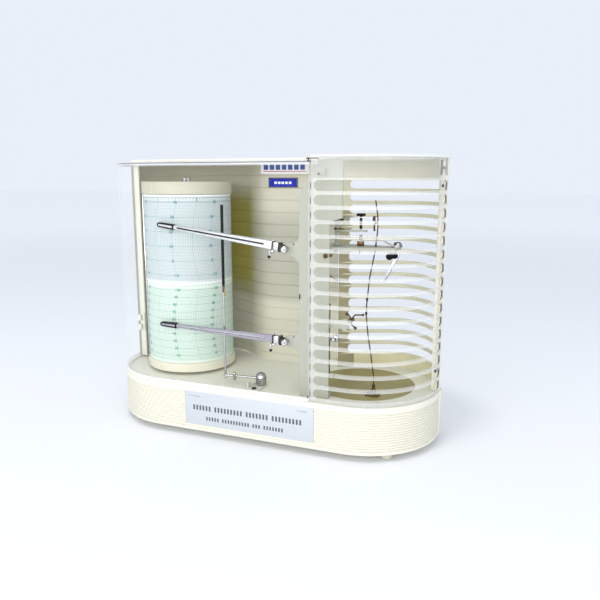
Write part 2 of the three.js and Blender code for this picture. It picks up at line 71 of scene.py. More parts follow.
BASE_R = high("base_shell").y
END_X = high("base_shell").x - BASE_R
FLOOR_Z = low("base_shell").z
COVER_Z = low("door_panel").z
RIM_Z = COVER_Z - GAP
DECK_Z = low("drum_spindle").z - GAP
COVER_R = -low("door_panel").y
COVER_T = 2.4
TOP_Z = high("louvre_lid").z
DOOR_EDGE_X = high("door_panel").x
HINGE_X = low("hinge_pin").x + 1.6
HINGE_Y = -(COVER_R - COVER_T / 2)
LOUVRE_EDGE_X = low("louvre_cover").x
REAR_TOP_Z = low("rear_top_plate").z
REAR_R = high("rear_top_plate").y
REAR_T = 2.6
WAIST_Y = 37
REAR_SPLIT_X = low("rear_louvre_shell").x
DRUM_LOBE_R = 72
DRUM_LOBE_X = low("rear_drum_shell").x + DRUM_LOBE_R + 2.5

SLOT_PITCH = 12.65
SLOT_H = 8.8
SLOT_TOP_Z = 251.1
FRONT_SLOTS = 16
REAR_SLOTS = 15
SLOT_LEFT_X = 71
SLOT_END_GAP = 6.5
REAR_SLOT_GAPS = (11, 27)
# SHOULDER_X and SHOULDER_Z bound the painted shade on the rear wall's shoulder.
SHOULDER_X = 67
SHOULDER_Z = 224
# Radius of the thin disc of painted shade on the sensor bay's deck.
SENSOR_SHADE_SHEET_R = 51.5

DRUM = middle("drum_cap")
CHART_R = (high("chart_paper").x - low("chart_paper").x) / 2
CAP_R = (high("drum_cap").x - low("drum_cap").x) / 2
CHART_LOW = low("chart_paper").z
CHART_HIGH = high("chart_paper").z

TEMP_PIVOT = middle("temp_spindle")
HUMID_PIVOT = middle("humid_spindle")
TEMP_SLOPE = math.radians(6.6)
HUMID_SLOPE = math.radians(0.5)
PEN_TOE_IN = math.radians(4.7)
PEN_LENGTH = 149.4
NIB_LENGTH = 21
PEN_ROOT = 14.4
PEN_RISE = 1.2
PEN_ROOT_Y = -61.6

# The chart's print: its seam's angle, the reach that bows its time lines, and its scales in millimetres.
CHART_START = math.radians(-146)
CHART_BOW = 137
HOUR = 2 * math.pi * CHART_R / 7 / 24
HOUR_PHASE = 12
DEGREE_STEP = 1.5
TEMP_ZERO = 173.2
HUMID_STEP = 0.784
HUMID_FIFTY = 103.9

MECH_Y = middle("hair_element").y

# ------------------------------------------------------------------ outlines in plan


def arc(cx, cy, r, start, end, steps):
    turns = [math.radians(start + (end - start) * i / steps) for i in range(steps + 1)]
    return [(cx + r * math.cos(a), cy + r * math.sin(a)) for a in turns]


def straight(a, b, steps):
    return [(a[0] + (b[0] - a[0]) * i / steps, a[1] + (b[1] - a[1]) * i / steps) for i in range(steps + 1)]


def bezier(p0, p1, p2, p3, steps):
    points = []
    for i in range(steps + 1):
        t = i / steps
        u = 1 - t
        weights = (u * u * u, 3 * u * u * t, 3 * u * t * t, t * t * t)
        points.append(tuple(sum(w * p[k] for w, p in zip(weights, (p0, p1, p2, p3))) for k in (0, 1)))
    return points


def without_repeats(points):
    kept = [points[0]]
    for p in points[1:]:
        if math.dist(p, kept[-1]) > 0.05:
            kept.append(p)
    return kept


def normals(points):
    """The unit normal to the left of an open line at each of its points."""
    result = []
    for i, _ in enumerate(points):
        a = points[max(i - 1, 0)]
        b = points[min(i + 1, len(points) - 1)]
        length = math.dist(a, b)
        result.append((-(b[1] - a[1]) / length, (b[0] - a[0]) / length))
    return result


def door_line():
    """The outer face of the door, from its left end at the middle plane to its hinge edge."""
    return without_repeats(
        arc(-END_X, 0, COVER_R, 180, 270, 40) + straight((-END_X, -COVER_R), (DOOR_EDGE_X, -COVER_R), 24)
    )


def louvre_line():
    """The outer face of the louvre cover, from its hinge-side edge to the middle plane."""
    return without_repeats(
        straight((LOUVRE_EDGE_X, -COVER_R), (END_X, -COVER_R), 6) + arc(END_X, 0, COVER_R, 270, 360, 48)
    )


def drum_lobe_line():
    """The inner face of the rear housing, from the left end round the drum to the waist."""
    lobe = arc(DRUM_LOBE_X, 0, DRUM_LOBE_R, 180, 48, 60)
    blend = bezier(lobe[-1], (-38, 43), (-32, WAIST_Y), (-16, WAIST_Y), 16)
    end = (REAR_SPLIT_X - GAP, 42.1)
    return without_repeats(lobe + blend + straight((-16, WAIST_Y), (44, WAIST_Y), 8) + [end])


def louvre_lobe_line():
    """The inner face of the rear louvres, from the waist to the right end."""
    shoulder = (66, 47.5)
    bend = (84, 54.8)
    lobe = arc(END_X, 0, REAR_R - REAR_T, 55, 0, 34)
    swing = bezier(bend, (104.4, 63.1), (122.7, 72.9), lobe[0], 16)
    return without_repeats(
        straight((REAR_SPLIT_X, 42.3), shoulder, 3) + straight(shoulder, bend, 3) + swing + lobe
    )


# ------------------------------------------------------------------ mesh building


class Shape:
    """Collects simple bodies in one mesh. Each body takes the current material index."""

    def __init__(self):
        self.bm = bmesh.new()
        self.uv = self.bm.loops.layers.uv.new("UVMap")
        self.index = 0

    def add(self, verts, faces, matrix=None):
        made = [self.bm.verts.new(matrix @ Vector(v) if matrix else v) for v in verts]
        result = []
        for face in faces:
            if len(set(face)) > 2:
                f = self.bm.faces.new([made[i] for i in face])
                f.material_index = self.index
                result.append(f)
        return result

    def ring(self, a, b):
        """Joins two closed rings of points."""
        n = len(a)
        return self.add(a + b, [(i, (i + 1) % n, n + (i + 1) % n, n + i) for i in range(n)])

    def ribbon(self, a, b):
        """Joins two open rows of points."""
        n = len(a)
        return self.add(a + b, [(i, i + 1, n + i + 1, n + i) for i in range(n - 1)])

    def tube(self, rows, matrix=None):
        """Joins closed rings of points in turn, and closes both ends."""
        n = len(rows[0])
        faces = [tuple(range(n))[::-1], tuple(range((len(rows) - 1) * n, len(rows) * n))]
        for start in range(0, (len(rows) - 1) * n, n):
            for k in range(n):
                m = (k + 1) % n
                faces.append((start + k, start + m, start + n + m, start + n + k))
        return self.add([p for row in rows for p in row], faces, matrix)

    def prism(self, outline, z0, z1, matrix=None):
        return self.tube([[(x, y, z) for x, y in outline] for z in (z0, z1)], matrix)

    def wall(self, outline, y0, y1, matrix=None):
        """A flat outline in X and Z, from y0 back to y1."""
        turned = Matrix(((1, 0, 0), (0, 0, -1), (0, 1, 0))).to_4x4()
        turned = (matrix or Matrix()) @ turned
        return self.prism(outline, -y1, -y0, turned)

    def box(self, x0, x1, y0, y1, z0, z1, matrix=None):
        return self.prism([(x0, y0), (x1, y0), (x1, y1), (x0, y1)], z0, z1, matrix)

    def lathe(self, profile, x, y, segments=48, shape=None, matrix=None):
        """Turns a closed profile of (radius, z) about the upright axis at (x, y).

        shape(angle, radius), where given, changes the radius.
        """
        verts = []
        for i in range(segments):
            a = 2 * math.pi * i / segments
            for r, z in profile:
                r2 = shape(a, r) if shape else r
                verts.append((x + r2 * math.cos(a), y + r2 * math.sin(a), z))
        n = len(profile)
        faces = []
        for i in range(segments):
            j = (i + 1) % segments
            for k in range(n):
                m = (k + 1) % n
                if profile[k][0] > 0 or profile[m][0] > 0:
                    faces.append((i * n + k, j * n + k, j * n + m, i * n + m))
        return self.add(verts, faces, matrix)

    def turned(self, x, y, z, side, segments=24, shape=None):
        """A turned solid. side is its (radius, height over z) from the foot up, closed to the axis."""
        profile = [(r, z + h) for r, h in side]
        self.lathe([(0, profile[0][1])] + profile + [(0, profile[-1][1])], x, y, segments, shape)

    def disc(self, r, x, y, z0, z1, segments=32, matrix=None):
        return self.prism(arc(x, y, r, 0, 360, segments)[:-1], z0, z1, matrix)

    def bar(self, a, b, r, segments=24, r2=None):
        """A round bar from a to b, which may taper from r to r2."""
        a, b = Vector(a), Vector(b)
        turn = Vector((0, 0, 1)).rotation_difference((b - a).normalized()).to_matrix().to_4x4()
        rows = []
        for radius, z in ((r, 0), (r2 or r, (b - a).length)):
            rows.append([(x, y, z) for x, y in arc(0, 0, radius, 0, 360, segments)[:-1]])
        return self.tube(rows, Matrix.Translation(a) @ turn)

    def ball(self, centre, r, matrix=None):
        turns = [math.radians(a) for a in range(0, 181, 15)]
        profile = [(r * math.sin(t), -r * math.cos(t)) for t in turns]
        moved = (matrix or Matrix()) @ Matrix.Translation(Vector(centre))
        return self.lathe(profile, 0, 0, 24, matrix=moved)

    def wire(self, points, r, sides=10):
        """A round wire through the points, with flat ends."""
        points = [Vector(p) for p in points]
        rings = []
        side = None
        for i, p in enumerate(points):
            a = points[max(i - 1, 0)]
            b = points[min(i + 1, len(points) - 1)]
            along = (b - a).normalized()
            side = (side or along.orthogonal()) - along * (side or along.orthogonal()).dot(along)
            side.normalize()
            up = along.cross(side)
            rings.append([p + r * (side * math.cos(t) + up * math.sin(t))
                          for t in (2 * math.pi * k / sides for k in range(sides))])
        return self.tube(rings)

    def swept(self, line, loop):
        """Sweeps closed loops along a line in plan. loop(i) gives (distance to the line's left, z)."""
        rows = []
        for i, ((x, y), (nx, ny)) in enumerate(zip(line, normals(line))):
            rows.append([(x + nx * d, y + ny * d, z) for d, z in loop(i)])
        return self.tube(rows)

    def bevel(self, width, segments=2):
        """Rounds every edge where two faces meet at more than 38 degrees."""
        self.tidy()
        edges = [e for e in self.bm.edges
                 if len(e.link_faces) == 2 and e.calc_face_angle(0) > math.radians(38)]
        bmesh.ops.bevel(self.bm, geom=edges, offset=width, segments=segments, profile=0.5,
                        affect="EDGES", clamp_overlap=True)
        return self

    def tidy(self):
        bmesh.ops.remove_doubles(self.bm, verts=self.bm.verts, dist=0.002)
        bmesh.ops.recalc_face_normals(self.bm, faces=self.bm.faces)

    def piece(self, name, body, slot, materials, replaces=(), smooth=35):
        """Makes the object. smooth is the edge angle, or None for print, which stays as it was added."""
        if smooth:
            self.tidy()
        mesh = bpy.data.meshes.new(name)
        self.bm.transform(Matrix.Scale(MM, 4))
        self.bm.to_mesh(mesh)
        self.bm.free()
        for material in materials:
            mesh.materials.append(material)
        if smooth:
            mesh.polygons.foreach_set("use_smooth", [True] * len(mesh.polygons))
            mesh.set_sharp_from_angle(angle=math.radians(smooth))
        piece = bpy.data.objects.new(name, mesh)
        bpy.context.collection.objects.link(piece)
        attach(piece, body)
        if replaces:
            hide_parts(*replaces)


def knurled(count, rim, depth):
    """Cuts upright grooves in a turned shape wherever its radius is over rim."""
    return lambda a, r: r - depth if r > rim and round(a * count / math.pi) % 2 else r


# ------------------------------------------------------------------ materials


class Look:
    """A material, with short ways to add its nodes."""

    def __init__(self, name):
        self.material = bpy.data.materials.new(name)
        self.material.use_nodes = True
        self.tree = self.material.node_tree
        self.shader = self.tree.nodes["Principled BSDF"]

    def feed(self, socket, value):
        """Links a socket's value, or sets a constant directly on the socket."""
        if isinstance(value, bpy.types.NodeSocket):
            self.tree.links.new(value, socket)
        elif socket.type == "RGBA":
            socket.default_value = (*value, 1)
        else:
            socket.default_value = value

    def set(self, name, value):
        self.feed(self.shader.inputs[name], value)

    def node(self, kind, inputs=(), **settings):
        node = self.tree.nodes.new("ShaderNode" + kind)
        for key, value in settings.items():
            setattr(node, key, value)
        for key, value in inputs:
            self.feed(node.inputs[key], value)
        return node

    def place(self):
        return self.node("TexCoord").outputs["Object"]

    def noise(self, scale, detail=3, place=None):
        inputs = [("Scale", scale), ("Detail", detail), ("Vector", place or self.place())]
        return self.node("TexNoise", inputs).outputs["Fac"]

    def facing(self, blend):
        return self.node("LayerWeight", [("Blend", blend)]).outputs["Facing"]

    def math(self, kind, a, b=None):
        inputs = [(k, value) for k, value in enumerate((a, b)) if value is not None]
        return self.node("Math", inputs, operation=kind).outputs[0]

    def ranged(self, value, low_out, high_out):
        inputs = [("Value", value), ("To Min", low_out), ("To Max", high_out)]
        return self.node("MapRange", inputs).outputs["Result"]

    def ramp(self, value, start, end):
        """Goes smoothly from 0 at start to 1 at end."""
        inputs = [("Value", value), ("From Min", start), ("From Max", end)]
        return self.node("MapRange", inputs, interpolation_type="SMOOTHSTEP").outputs["Result"]

    def mix(self, factor, a, b):
        node = self.node("Mix", [("Factor", factor)], data_type="RGBA")
        for value, name in ((a, "A"), (b, "B")):
            self.feed([s for s in node.inputs if s.name == name and s.type == "RGBA"][0], value)
        return [s for s in node.outputs if s.type == "RGBA"][0]

    def bump(self, height, strength, distance):
        inputs = [("Height", height), ("Strength", strength), ("Distance", distance)]
        self.set("Normal", self.node("Bump", inputs).outputs["Normal"])


def scaled(colour, factor):
    return tuple(c * factor for c in colour)


def moulded_plastic(name, colour, roughness=0.42, shade=0.93, grain=1400, gloss=0.5, paint=None):
    """Moulded plastic: faint mottling, a fine spark-eroded grain and a little wear in its gloss.

    paint(look, plain), where given, changes the plain colour.
    """
    look = Look(name)
    plain = look.mix(look.noise(14), scaled(colour, shade), colour)
    look.set("Base Color", paint(look, plain) if paint else plain)
    look.set("Roughness", look.ranged(look.noise(60), roughness - 0.07, roughness + 0.09))
    look.bump(look.noise(grain, 2), 0.05, 0.03 * MM)
    look.set("Specular IOR Level", gloss)
    return look.material


HOUSING_TINT = (0.63, 0.61, 0.49)
# Painted shadows on the housing's inside: the drum's shadow in the fold beside it, painted olive, and a
# band of painted shade across the wall.
FOLD_SHADOW_OLIVE = (0.44, 0.39, 0.06)
FOLD_X = (-40, -62)
FOLD_TOP_Z = (250, 226)
FOLD_FOOT_Z = (112, 150)
BAND_TOP_Z = (232, 205)
BAND_FOOT_Z = (118, 128)
BAND_SHADOW_FACTOR = 0.74


def housing_shade(look, plain):
    """Paints shadows into the housing's inside: a band of painted shade across it, and the drum's shadow
    painted olive in the fold beside the drum.
    """
    split = look.node("SeparateXYZ", [("Vector", look.place())])

    def ramp(axis, limits):
        return look.ramp(split.outputs[axis], limits[0] * MM, limits[1] * MM)

    # A band of painted shade across the wall.
    band = look.math("MULTIPLY", ramp("Z", BAND_TOP_Z), ramp("Z", BAND_FOOT_Z))
    banded = look.mix(band, plain, scaled(HOUSING_TINT, BAND_SHADOW_FACTOR))
    # The drum's painted shadow, olive, in the fold beside it.
    upright = look.math("MULTIPLY", ramp("Z", FOLD_TOP_Z), ramp("Z", FOLD_FOOT_Z))
    return look.mix(look.math("MULTIPLY", ramp("X", FOLD_X), upright), banded, FOLD_SHADOW_OLIVE)


def clear_acrylic(name, colour, alpha, roughness=0.04, grazing=0.35):
    """Clear acrylic. It is thin, so light goes straight on; it whitens where it is seen edge on."""
    look = Look(name)
    look.set("Base Color", colour)
    steep = look.math("POWER", look.facing(0.25), 2.0)
    look.set("Alpha", look.ranged(steep, alpha, alpha + grazing))
    look.set("IOR", 1.49)
    look.set("Roughness", look.ranged(look.noise(35), roughness, roughness + 0.05))
    return look.material


def metal(name, colour, roughness=0.18, streaks=(1, 1, 1), rim=0.25):
    """Metal with fine polishing marks. It darkens towards its outline, as it mirrors a dark room there."""
    look = Look(name)
    mapping = look.node("Mapping", [("Vector", look.place()), ("Scale", streaks)])
    marks = look.noise(900, 2, mapping.outputs["Vector"])
    face = look.mix(marks, scaled(colour, 0.86), colour)
    look.set("Base Color", look.mix(look.facing(0.5), face, scaled(colour, rim)))
    look.set("Roughness", look.ranged(marks, roughness * 0.7, roughness * 1.5))
    look.bump(marks, 0.06, 0.02 * MM)
    look.set("Metallic", 1.0)
    return look.material


CREAM = moulded_plastic("cream_base", (0.76, 0.74, 0.64), 0.4, 0.97)
HOUSING = moulded_plastic("cream_housing", (0.68, 0.655, 0.50), 0.5, 0.95)
# The housing's inside has its shadows painted into its colour.
HOUSING_INSIDE_PAINTED_SHADOWS = moulded_plastic("cream_housing_inside_painted_shadows", HOUSING_TINT, 0.5, 0.95, paint=housing_shade)
# Dark ochre for the sensor bay's floor: painted shade.
BAY_FLOOR_PAINTED_SHADE = moulded_plastic("ochre_painted_shade", (0.34, 0.29, 0.12), 0.5, 0.92)
# Darker olive for the rear wall's shoulder: painted shade.
SHOULDER_PAINTED_SHADE = moulded_plastic("olive_shoulder_painted_shade", (0.33, 0.30, 0.17), 0.5, 0.92)
# A yellower copy of the housing colour for the rear wall below the slots: painted bounce light and shade.
LOWER_WALL_PAINTED_BOUNCE = moulded_plastic("beige_lower_wall_painted_bounce", (0.70, 0.66, 0.44), 0.5, 0.95)
FRAME_CREAM = moulded_plastic("cream_frame", (0.42, 0.425, 0.355), 0.5, 0.97)
# Pale cream for the lifter's metal foot plate: a painted reflection of the deck.
DECK_REFLECTION_CREAM = moulded_plastic("pale_painted_deck_reflection", (0.62, 0.61, 0.52), 0.4, 0.97)
DECK_CREAM = moulded_plastic("cream_deck", (0.78, 0.77, 0.66), 0.46, 0.96)
DRUM_CREAM = moulded_plastic("cream_drum", (0.53, 0.51, 0.40), 0.42, 0.97)
FLANGE_CREAM = moulded_plastic("cream_flange", (0.72, 0.69, 0.56), 0.42, 0.97)
CLEAR_FACE = clear_acrylic("acrylic_face", (0.97, 0.98, 1.0), 0.004, 0.03, 0.45)
# Whitish band under the door's top edge: a painted highlight on the rounded corner.
CLEAR_PAINTED_HIGHLIGHT = clear_acrylic("acrylic_painted_highlight", (0.97, 0.98, 1.0), 0.5, 0.05, 0.3)
CLEAR_EDGE = clear_acrylic("acrylic_edge", (0.97, 0.98, 1.0), 0.62, 0.1, 0.2)
SLAT_FACE = clear_acrylic("acrylic_slat_face", (0.76, 0.77, 0.74), 0.14, 0.04, 0.5)
SLAT_BAND = clear_acrylic("acrylic_slat_band", (0.78, 0.79, 0.77), 0.25, 0.04, 0.4)
SLAT_EDGE = clear_acrylic("acrylic_slat_edge", (0.80, 0.81, 0.80), 0.42, 0.08, 0.2)
LID_SEAM = clear_acrylic("acrylic_lid_seam", (0.45, 0.46, 0.45), 0.55, 0.1, 0.2)
# Near-white lip above each front slot: a painted highlight on the slat's lower edge.
SLAT_LIP_PAINTED_HIGHLIGHT = clear_acrylic("acrylic_slat_lip_painted_highlight", (0.95, 0.96, 0.97), 0.55, 0.08, 0.1)
LID_FACE = clear_acrylic("acrylic_lid", (0.95, 0.97, 1.0), 0.22, 0.04, 0.3)
# Dark lines: print on the blue badge's frame, and painted shade lines in the clear covers.
DARK_PRINT_AND_SHADE_LINES = moulded_plastic("dark_print_and_painted_shade", (0.05, 0.055, 0.05), 0.4, 0.8)
STEEL = metal("polished_steel", (0.86, 0.86, 0.86), 0.16)
ARM_METAL = metal("polished_arm", (0.97, 0.97, 0.97), 0.25, (0.05, 1, 1), 0.6)
# A darker copy of the arm metal for the humidity pen: painted shade.
ARM_METAL_PAINTED_SHADE = metal("arm_metal_painted_shade", (0.50, 0.46, 0.52), 0.25, (0.05, 1, 1), 0.6)
# Blackened metal parts; on the temperature pen it also paints shade in the groove.
DARK_METAL = metal("blackened_metal_and_painted_groove_shade", (0.05, 0.042, 0.038), 0.35, rim=0.6)
STRIP_METAL = metal("pale_strip", (0.52, 0.50, 0.57), 0.25, rim=0.5)
AGED = metal("aged_bronze", (0.17, 0.10, 0.045), 0.3, rim=0.35)
GREY_METAL = metal("dull_steel", (0.45, 0.44, 0.46), 0.3, rim=0.3)
BRASS = metal("satin_brass", (0.60, 0.40, 0.16), 0.28)
BLACK = moulded_plastic("black_plastic", (0.002, 0.002, 0.002), 0.5, 0.8, gloss=0.12)
DARK_STEEL = metal("turned_steel", (0.62, 0.61, 0.62), 0.18, rim=0.12)
BROWN = moulded_plastic("brown_tube", (0.14, 0.07, 0.04), 0.4, 0.8)
FOOT = moulded_plastic("foot_rubber", (0.53, 0.51, 0.42), 0.75, 0.9)
WHITE_FILM = moulded_plastic("white_film", (0.9, 0.9, 0.93), 0.3, 0.99, 200)
BLUE_FILM = moulded_plastic("blue_film", (0.008, 0.02, 0.46), 0.55, 0.9, 200, 0.15)
LABEL_FILM = moulded_plastic("label_film", (0.53, 0.56, 0.60), 0.35, 0.97, 300)
PRINT_GREY = moulded_plastic("dark_print", (0.09, 0.095, 0.11), 0.5, 0.9, 300)
PRINT_LIGHT = moulded_plastic("grey_print", (0.27, 0.30, 0.36), 0.5, 0.9, 300)
PRINT_BLUE = moulded_plastic("blue_print", (0.02, 0.07, 0.32), 0.4, 0.9, 300)
PRINT_RED = moulded_plastic("red_print", (0.55, 0.04, 0.05), 0.4, 0.9, 300)
HAIR = moulded_plastic("hair_brown", (0.10, 0.04, 0.015), 0.6, 0.6)

# ------------------------------------------------------------------ base


def stadium(r):
    return arc(END_X, 0, r, -90, 90, 48) + arc(-END_X, 0, r, 90, 270, 48)


RIB_COUNT = 15
RIB_LOW_Z = FLOOR_Z + 4
RIB_PITCH = 2.5
RIB_DEPTH = 1.1
RIM_WIDTH = 3


def base_profile(flat):
    """(inset, z) from the inside of the bottom edge, up the ribbed side, to the deck's edge."""
    side = [(RIM_WIDTH, FLOOR_Z), (1.6, FLOOR_Z), (0.5, FLOOR_Z + 0.5), (0, FLOOR_Z + 1.6)]
    side += [(0, FLOOR_Z + 2.9), (0.5, FLOOR_Z + 3.4), (0.2, FLOOR_Z + 3.9)]
    for i in range(RIB_COUNT):
        z = RIB_LOW_Z + i * RIB_PITCH
        for step, depth in ((0, 0.1), (0.25, 1), (0.6, 1), (1.1, 0.25), (1.6, 0), (2.3, 0)):
            side.append((max(depth * RIB_DEPTH, flat * 0.6), z + step))
    top = RIB_LOW_Z + RIB_COUNT * RIB_PITCH
    side.append((flat * 0.6, top))
    side += [(0, top + 0.2), (0, RIM_Z - 0.8), (0.25, RIM_Z - 0.2), (0.8, RIM_Z)]
    side += [(RIM_WIDTH - 0.6, RIM_Z), (RIM_WIDTH - 0.1, RIM_Z - 0.4)]
    side += [(RIM_WIDTH, DECK_Z + 0.4), (RIM_WIDTH + 0.4, DECK_Z)]
    return side


def base_columns():
    """Outline stations in order round the base: (x, y, outward x, outward y, pocket)."""
    stations = []

    def end(cx, start, stop, step):
        for a in range(start, stop + 1, step):
            t = math.radians(a)
            stations.append((cx + BASE_R * math.cos(t), BASE_R * math.sin(t), math.cos(t), math.sin(t), 0))

    end(END_X, -90, 90, 3)
    end(-END_X, 90, 270, 3)
    label_low = low("front_label").x - 0.3
    label_high = high("front_label").x + 0.3
    for x, flat in ((label_low - 0.05, 0), (label_low, 1), (label_high, 1), (label_high + 0.05, 0)):
        stations.append((x, -BASE_R, 0, -1, flat))
    return stations


def build_base():
    shape = Shape()
    stations = base_columns()
    verts = []
    for x, y, out_x, out_y, flat in stations:
        for inset, z in base_profile(flat):
            verts.append((x - out_x * inset, y - out_y * inset, z))
    n = len(base_profile(0))
    m = len(stations)
    faces = []
    for i in range(m):
        j = (i + 1) % m
        for k in range(n - 1):
            faces.append((i * n + k, j * n + k, j * n + k + 1, i * n + k + 1))
    under = DECK_Z - RIM_WIDTH
    roof = m * n
    verts += [(verts[i * n][0], verts[i * n][1], under) for i in range(m)]
    for i in range(m):
        j = (i + 1) % m
        faces.append((i * n, roof + i, roof + j, j * n))
    faces.append(tuple(range(roof, roof + m)))
    faces.append(tuple(i * n + n - 1 for i in range(m)))
    made = shape.add(verts, faces)
    deck = made[-1]
    deck.material_index = 1
    shape.piece("base_moulding", "case", "base", [CREAM, DECK_CREAM], ["base_shell"], 30)

    strips = Shape()
    for side in (-1, 1):
        edge = side * (END_X + BASE_R)
        strips.box(edge - side * 1.2, edge + side * 0.8, 0.5, 9, FLOOR_Z + 1, RIM_Z)
    strips.bevel(0.5)
    strips.piece("base_end_strips", "case", "base", [CREAM])

    pin = Shape()
    pin.disc(0.6, HINGE_X, HINGE_Y, RIM_Z - 0.5, RIM_Z + 5)
    pin.piece("lower_hinge_stub", "case", "dark_metal", [DARK_METAL])

    plate = Shape()
    plate.prism(stadium(BASE_R - RIM_WIDTH - GAP), *heights("bottom_plate"))
    plate.bevel(0.4)
    plate.piece("underside_plate", "case", "base", [DECK_CREAM], ["bottom_plate"])

    for end in ("front", "rear"):
        for side in ("left", "right"):
            node = f"foot_{end}_{side}"
            c, top = middle(node), high(node).z
            foot = Shape()
            foot.turned(c.x, c.y, 0, [(4.4, 0), (5.2, 0.4), (5.8, 1.4), (6, 3), (6, top)], 40)
            foot.piece(node + "_moulded", "case", "foot_rubber", [FOOT], [node])

    screws = Shape()
    bottom = low("bottom_plate").z
    for x in (-105, -35, 35, 105):
        for y in (-52, 52):
            screws.turned(x, y, bottom, [(2.2, -1.2), (3, -0.4), (3, 0.4)])
    screws.piece("underside_screws", "case", "polished_metal", [STEEL])


def build_label():
    lo, hi = ends("front_label")
    label = Shape()
    label.box(lo.x, hi.x, lo.y, hi.y, lo.z, hi.z)
    label.bevel(0.12)
    label.piece("front_label_plate", "case", "label", [LABEL_FILM], ["front_label"])

    width, height = hi.x - lo.x, hi.z - lo.z
    marks = Shape()

    def row(left, right, level, tall, wide, words, ink):
        """A row of plain blocks in place of lettering, in groups of the stated lengths."""
        marks.index = ink
        x = lo.x + left * width
        z = lo.z + level * height
        for count in words:
            for _ in range(count):
                if x + wide < lo.x + right * width:
                    marks.box(x, x + wide * 0.55, lo.y - 0.03, lo.y + 0.2, z - tall / 2, z + tall / 2)
                x += wide
            x += wide * 0.8

    row(0.065, 0.93, 0.52, 5.2, 3.55, (6, 9, 7, 10), 0)
    row(0.17, 0.80, 0.22, 3.8, 3.1, (5, 10, 3, 7), 0)
    row(0.03, 0.14, 0.85, 1.3, 1.7, (2, 5, 1), 1)
    row(0.88, 0.97, 0.84, 1.5, 1.5, (1, 5), 1)
    marks.piece("front_label_marks", "case", "label", [PRINT_GREY, PRINT_LIGHT])

    for node, name, main, accent in (("badge_white", "upper_badge", WHITE_FILM, PRINT_BLUE),
                                     ("badge_blue", "lower_badge", BLUE_FILM, WHITE_FILM)):
        b, t = ends(node)
        badge = Shape()
        badge.box(b.x, t.x, b.y, t.y, b.z, t.z)
        badge.bevel(0.1)
        slot = "badge_pale" if node == "badge_white" else "badge_dark"
        badge.piece(name, "case", slot, [main], [node])
        mark = Shape()
        w, h = t.x - b.x, t.z - b.z
        front = b.y - 0.04
        if node == "badge_white":
            for k in range(7):
                x = b.x + w * (0.06 + 0.127 * k)
                mark.box(x, x + w * 0.095, front, b.y + 0.1, b.z + h * 0.38, b.z + h * 0.86)
            mark.index = 1
            mark.box(b.x + w * 0.05, b.x + w * 0.95, front, b.y + 0.1, b.z + h * 0.2, b.z + h * 0.27)
        else:
            mark.index = 2
            for x0, x1, z0, z1 in ((0, 1, 0, 0.1), (0, 1, 0.88, 1), (0, 0.04, 0, 1), (0.96, 1, 0, 1)):
                mark.box(b.x + w * x0, b.x + w * x1, front, b.y + 0.1, b.z + h * z0, b.z + h * z1)
            mark.index = 0
            for k in range(5):
                x = b.x + w * (0.2 + 0.125 * k)
                mark.box(x, x + w * 0.09, front, b.y + 0.1, b.z + h * 0.36, b.z + h * 0.6)
        mark.piece(name + "_mark", "case", slot, [accent, PRINT_RED, DARK_PRINT_AND_SHADE_LINES])


# ------------------------------------------------------------------ rear housing


GROOVE_TOP_Z = 260.6
GROOVE_PITCH = 13.25
GROOVE_DEPTH = 0.7


def grooved(z0, z1, inward):
    """One side of the housing wall as (distance, z), with shallow horizontal grooves."""
    side = [(0, z0)]
    levels = []
    z = GROOVE_TOP_Z
    while z > z0 + GROOVE_PITCH * 0.4:
        levels.append(z)
        z -= GROOVE_PITCH
    for level in sorted(levels):
        for dz, cut in ((-0.9, 0), (-0.45, 1), (0.15, 1), (0.5, 0)):
            side.append((inward * GROOVE_DEPTH * cut, level + dz))
    side.append((0, z1))
    return side


def build_rear_housing():
    floor, roof = heights("rear_drum_shell")
    inner = grooved(floor, roof, 1)
    outer = grooved(floor, roof, -1)
    loop = [(-d, z) for d, z in inner] + [(-REAR_T - d, z) for d, z in reversed(outer)]
    shell = Shape()
    made = shell.swept(drum_lobe_line(), lambda i: [(-d, z) for d, z in loop])
    # After the two end faces each station's faces come in turn, and the inner side's come first.
    for k, face in enumerate(made[2:]):
        face.material_index = 1 if k % len(loop) < len(inner) - 1 else 0
    shell.piece("drum_side_wall", "case", "housing", [HOUSING, HOUSING_INSIDE_PAINTED_SHADOWS], ["rear_drum_shell"], 30)

    jamb = Shape()
    jamb_low = low("rear_drum_shell").x + 0.1
    jamb.box(jamb_low, jamb_low + 9, GAP, 3.4, floor, roof)
    jamb.bevel(0.5)
    jamb.piece("left_edge_strip", "case", "base", [CREAM])

    top = Shape()
    right = arc(END_X, 0, REAR_R, 0, 90, 48)
    left = arc(-END_X, 0, REAR_R, 90, 180, 48)
    right[0] = (right[0][0], GAP)
    left[-1] = (left[-1][0], GAP)
    top.prism(right + left, REAR_TOP_Z, TOP_Z)
    top.bevel(0.7, 3)
    top.piece("rear_top", "case", "base", [CREAM], ["rear_top_plate"])

    strip = Shape()
    edge = high("rear_louvre_shell").x
    strip.box(edge - 8, edge, GAP, 3.4, floor, roof)
    strip.box(edge - 8, edge + 0.4, GAP, 5.4, roof - 15, roof)
    strip.bevel(0.5)
    strip.piece("right_edge_strip", "case", "base", [CREAM])

    screws = Shape()
    for z in (roof - 8, roof - 24, floor + 20):
        screws.bar((edge - 4, -1.1, z), (edge - 4, 0.6, z), 1.5)
    screws.piece("right_edge_screws", "case", "dark_metal", [DARK_METAL])

    keeper = Shape()
    lo, hi = ends("latch_keeper")
    keeper.box(lo.x, hi.x, hi.y - 1.2, hi.y, lo.z, hi.z)
    for z in (lo.z + 5, lo.z + 16):
        keeper.box(lo.x, lo.x + 3.5, lo.y, hi.y - 0.8, z - 3.4, z + 3.4)
    keeper.bevel(0.8, 3)
    keeper.piece("latch_bumps", "case", "base", [CREAM], ["latch_keeper"])


# ------------------------------------------------------------------ slotted walls


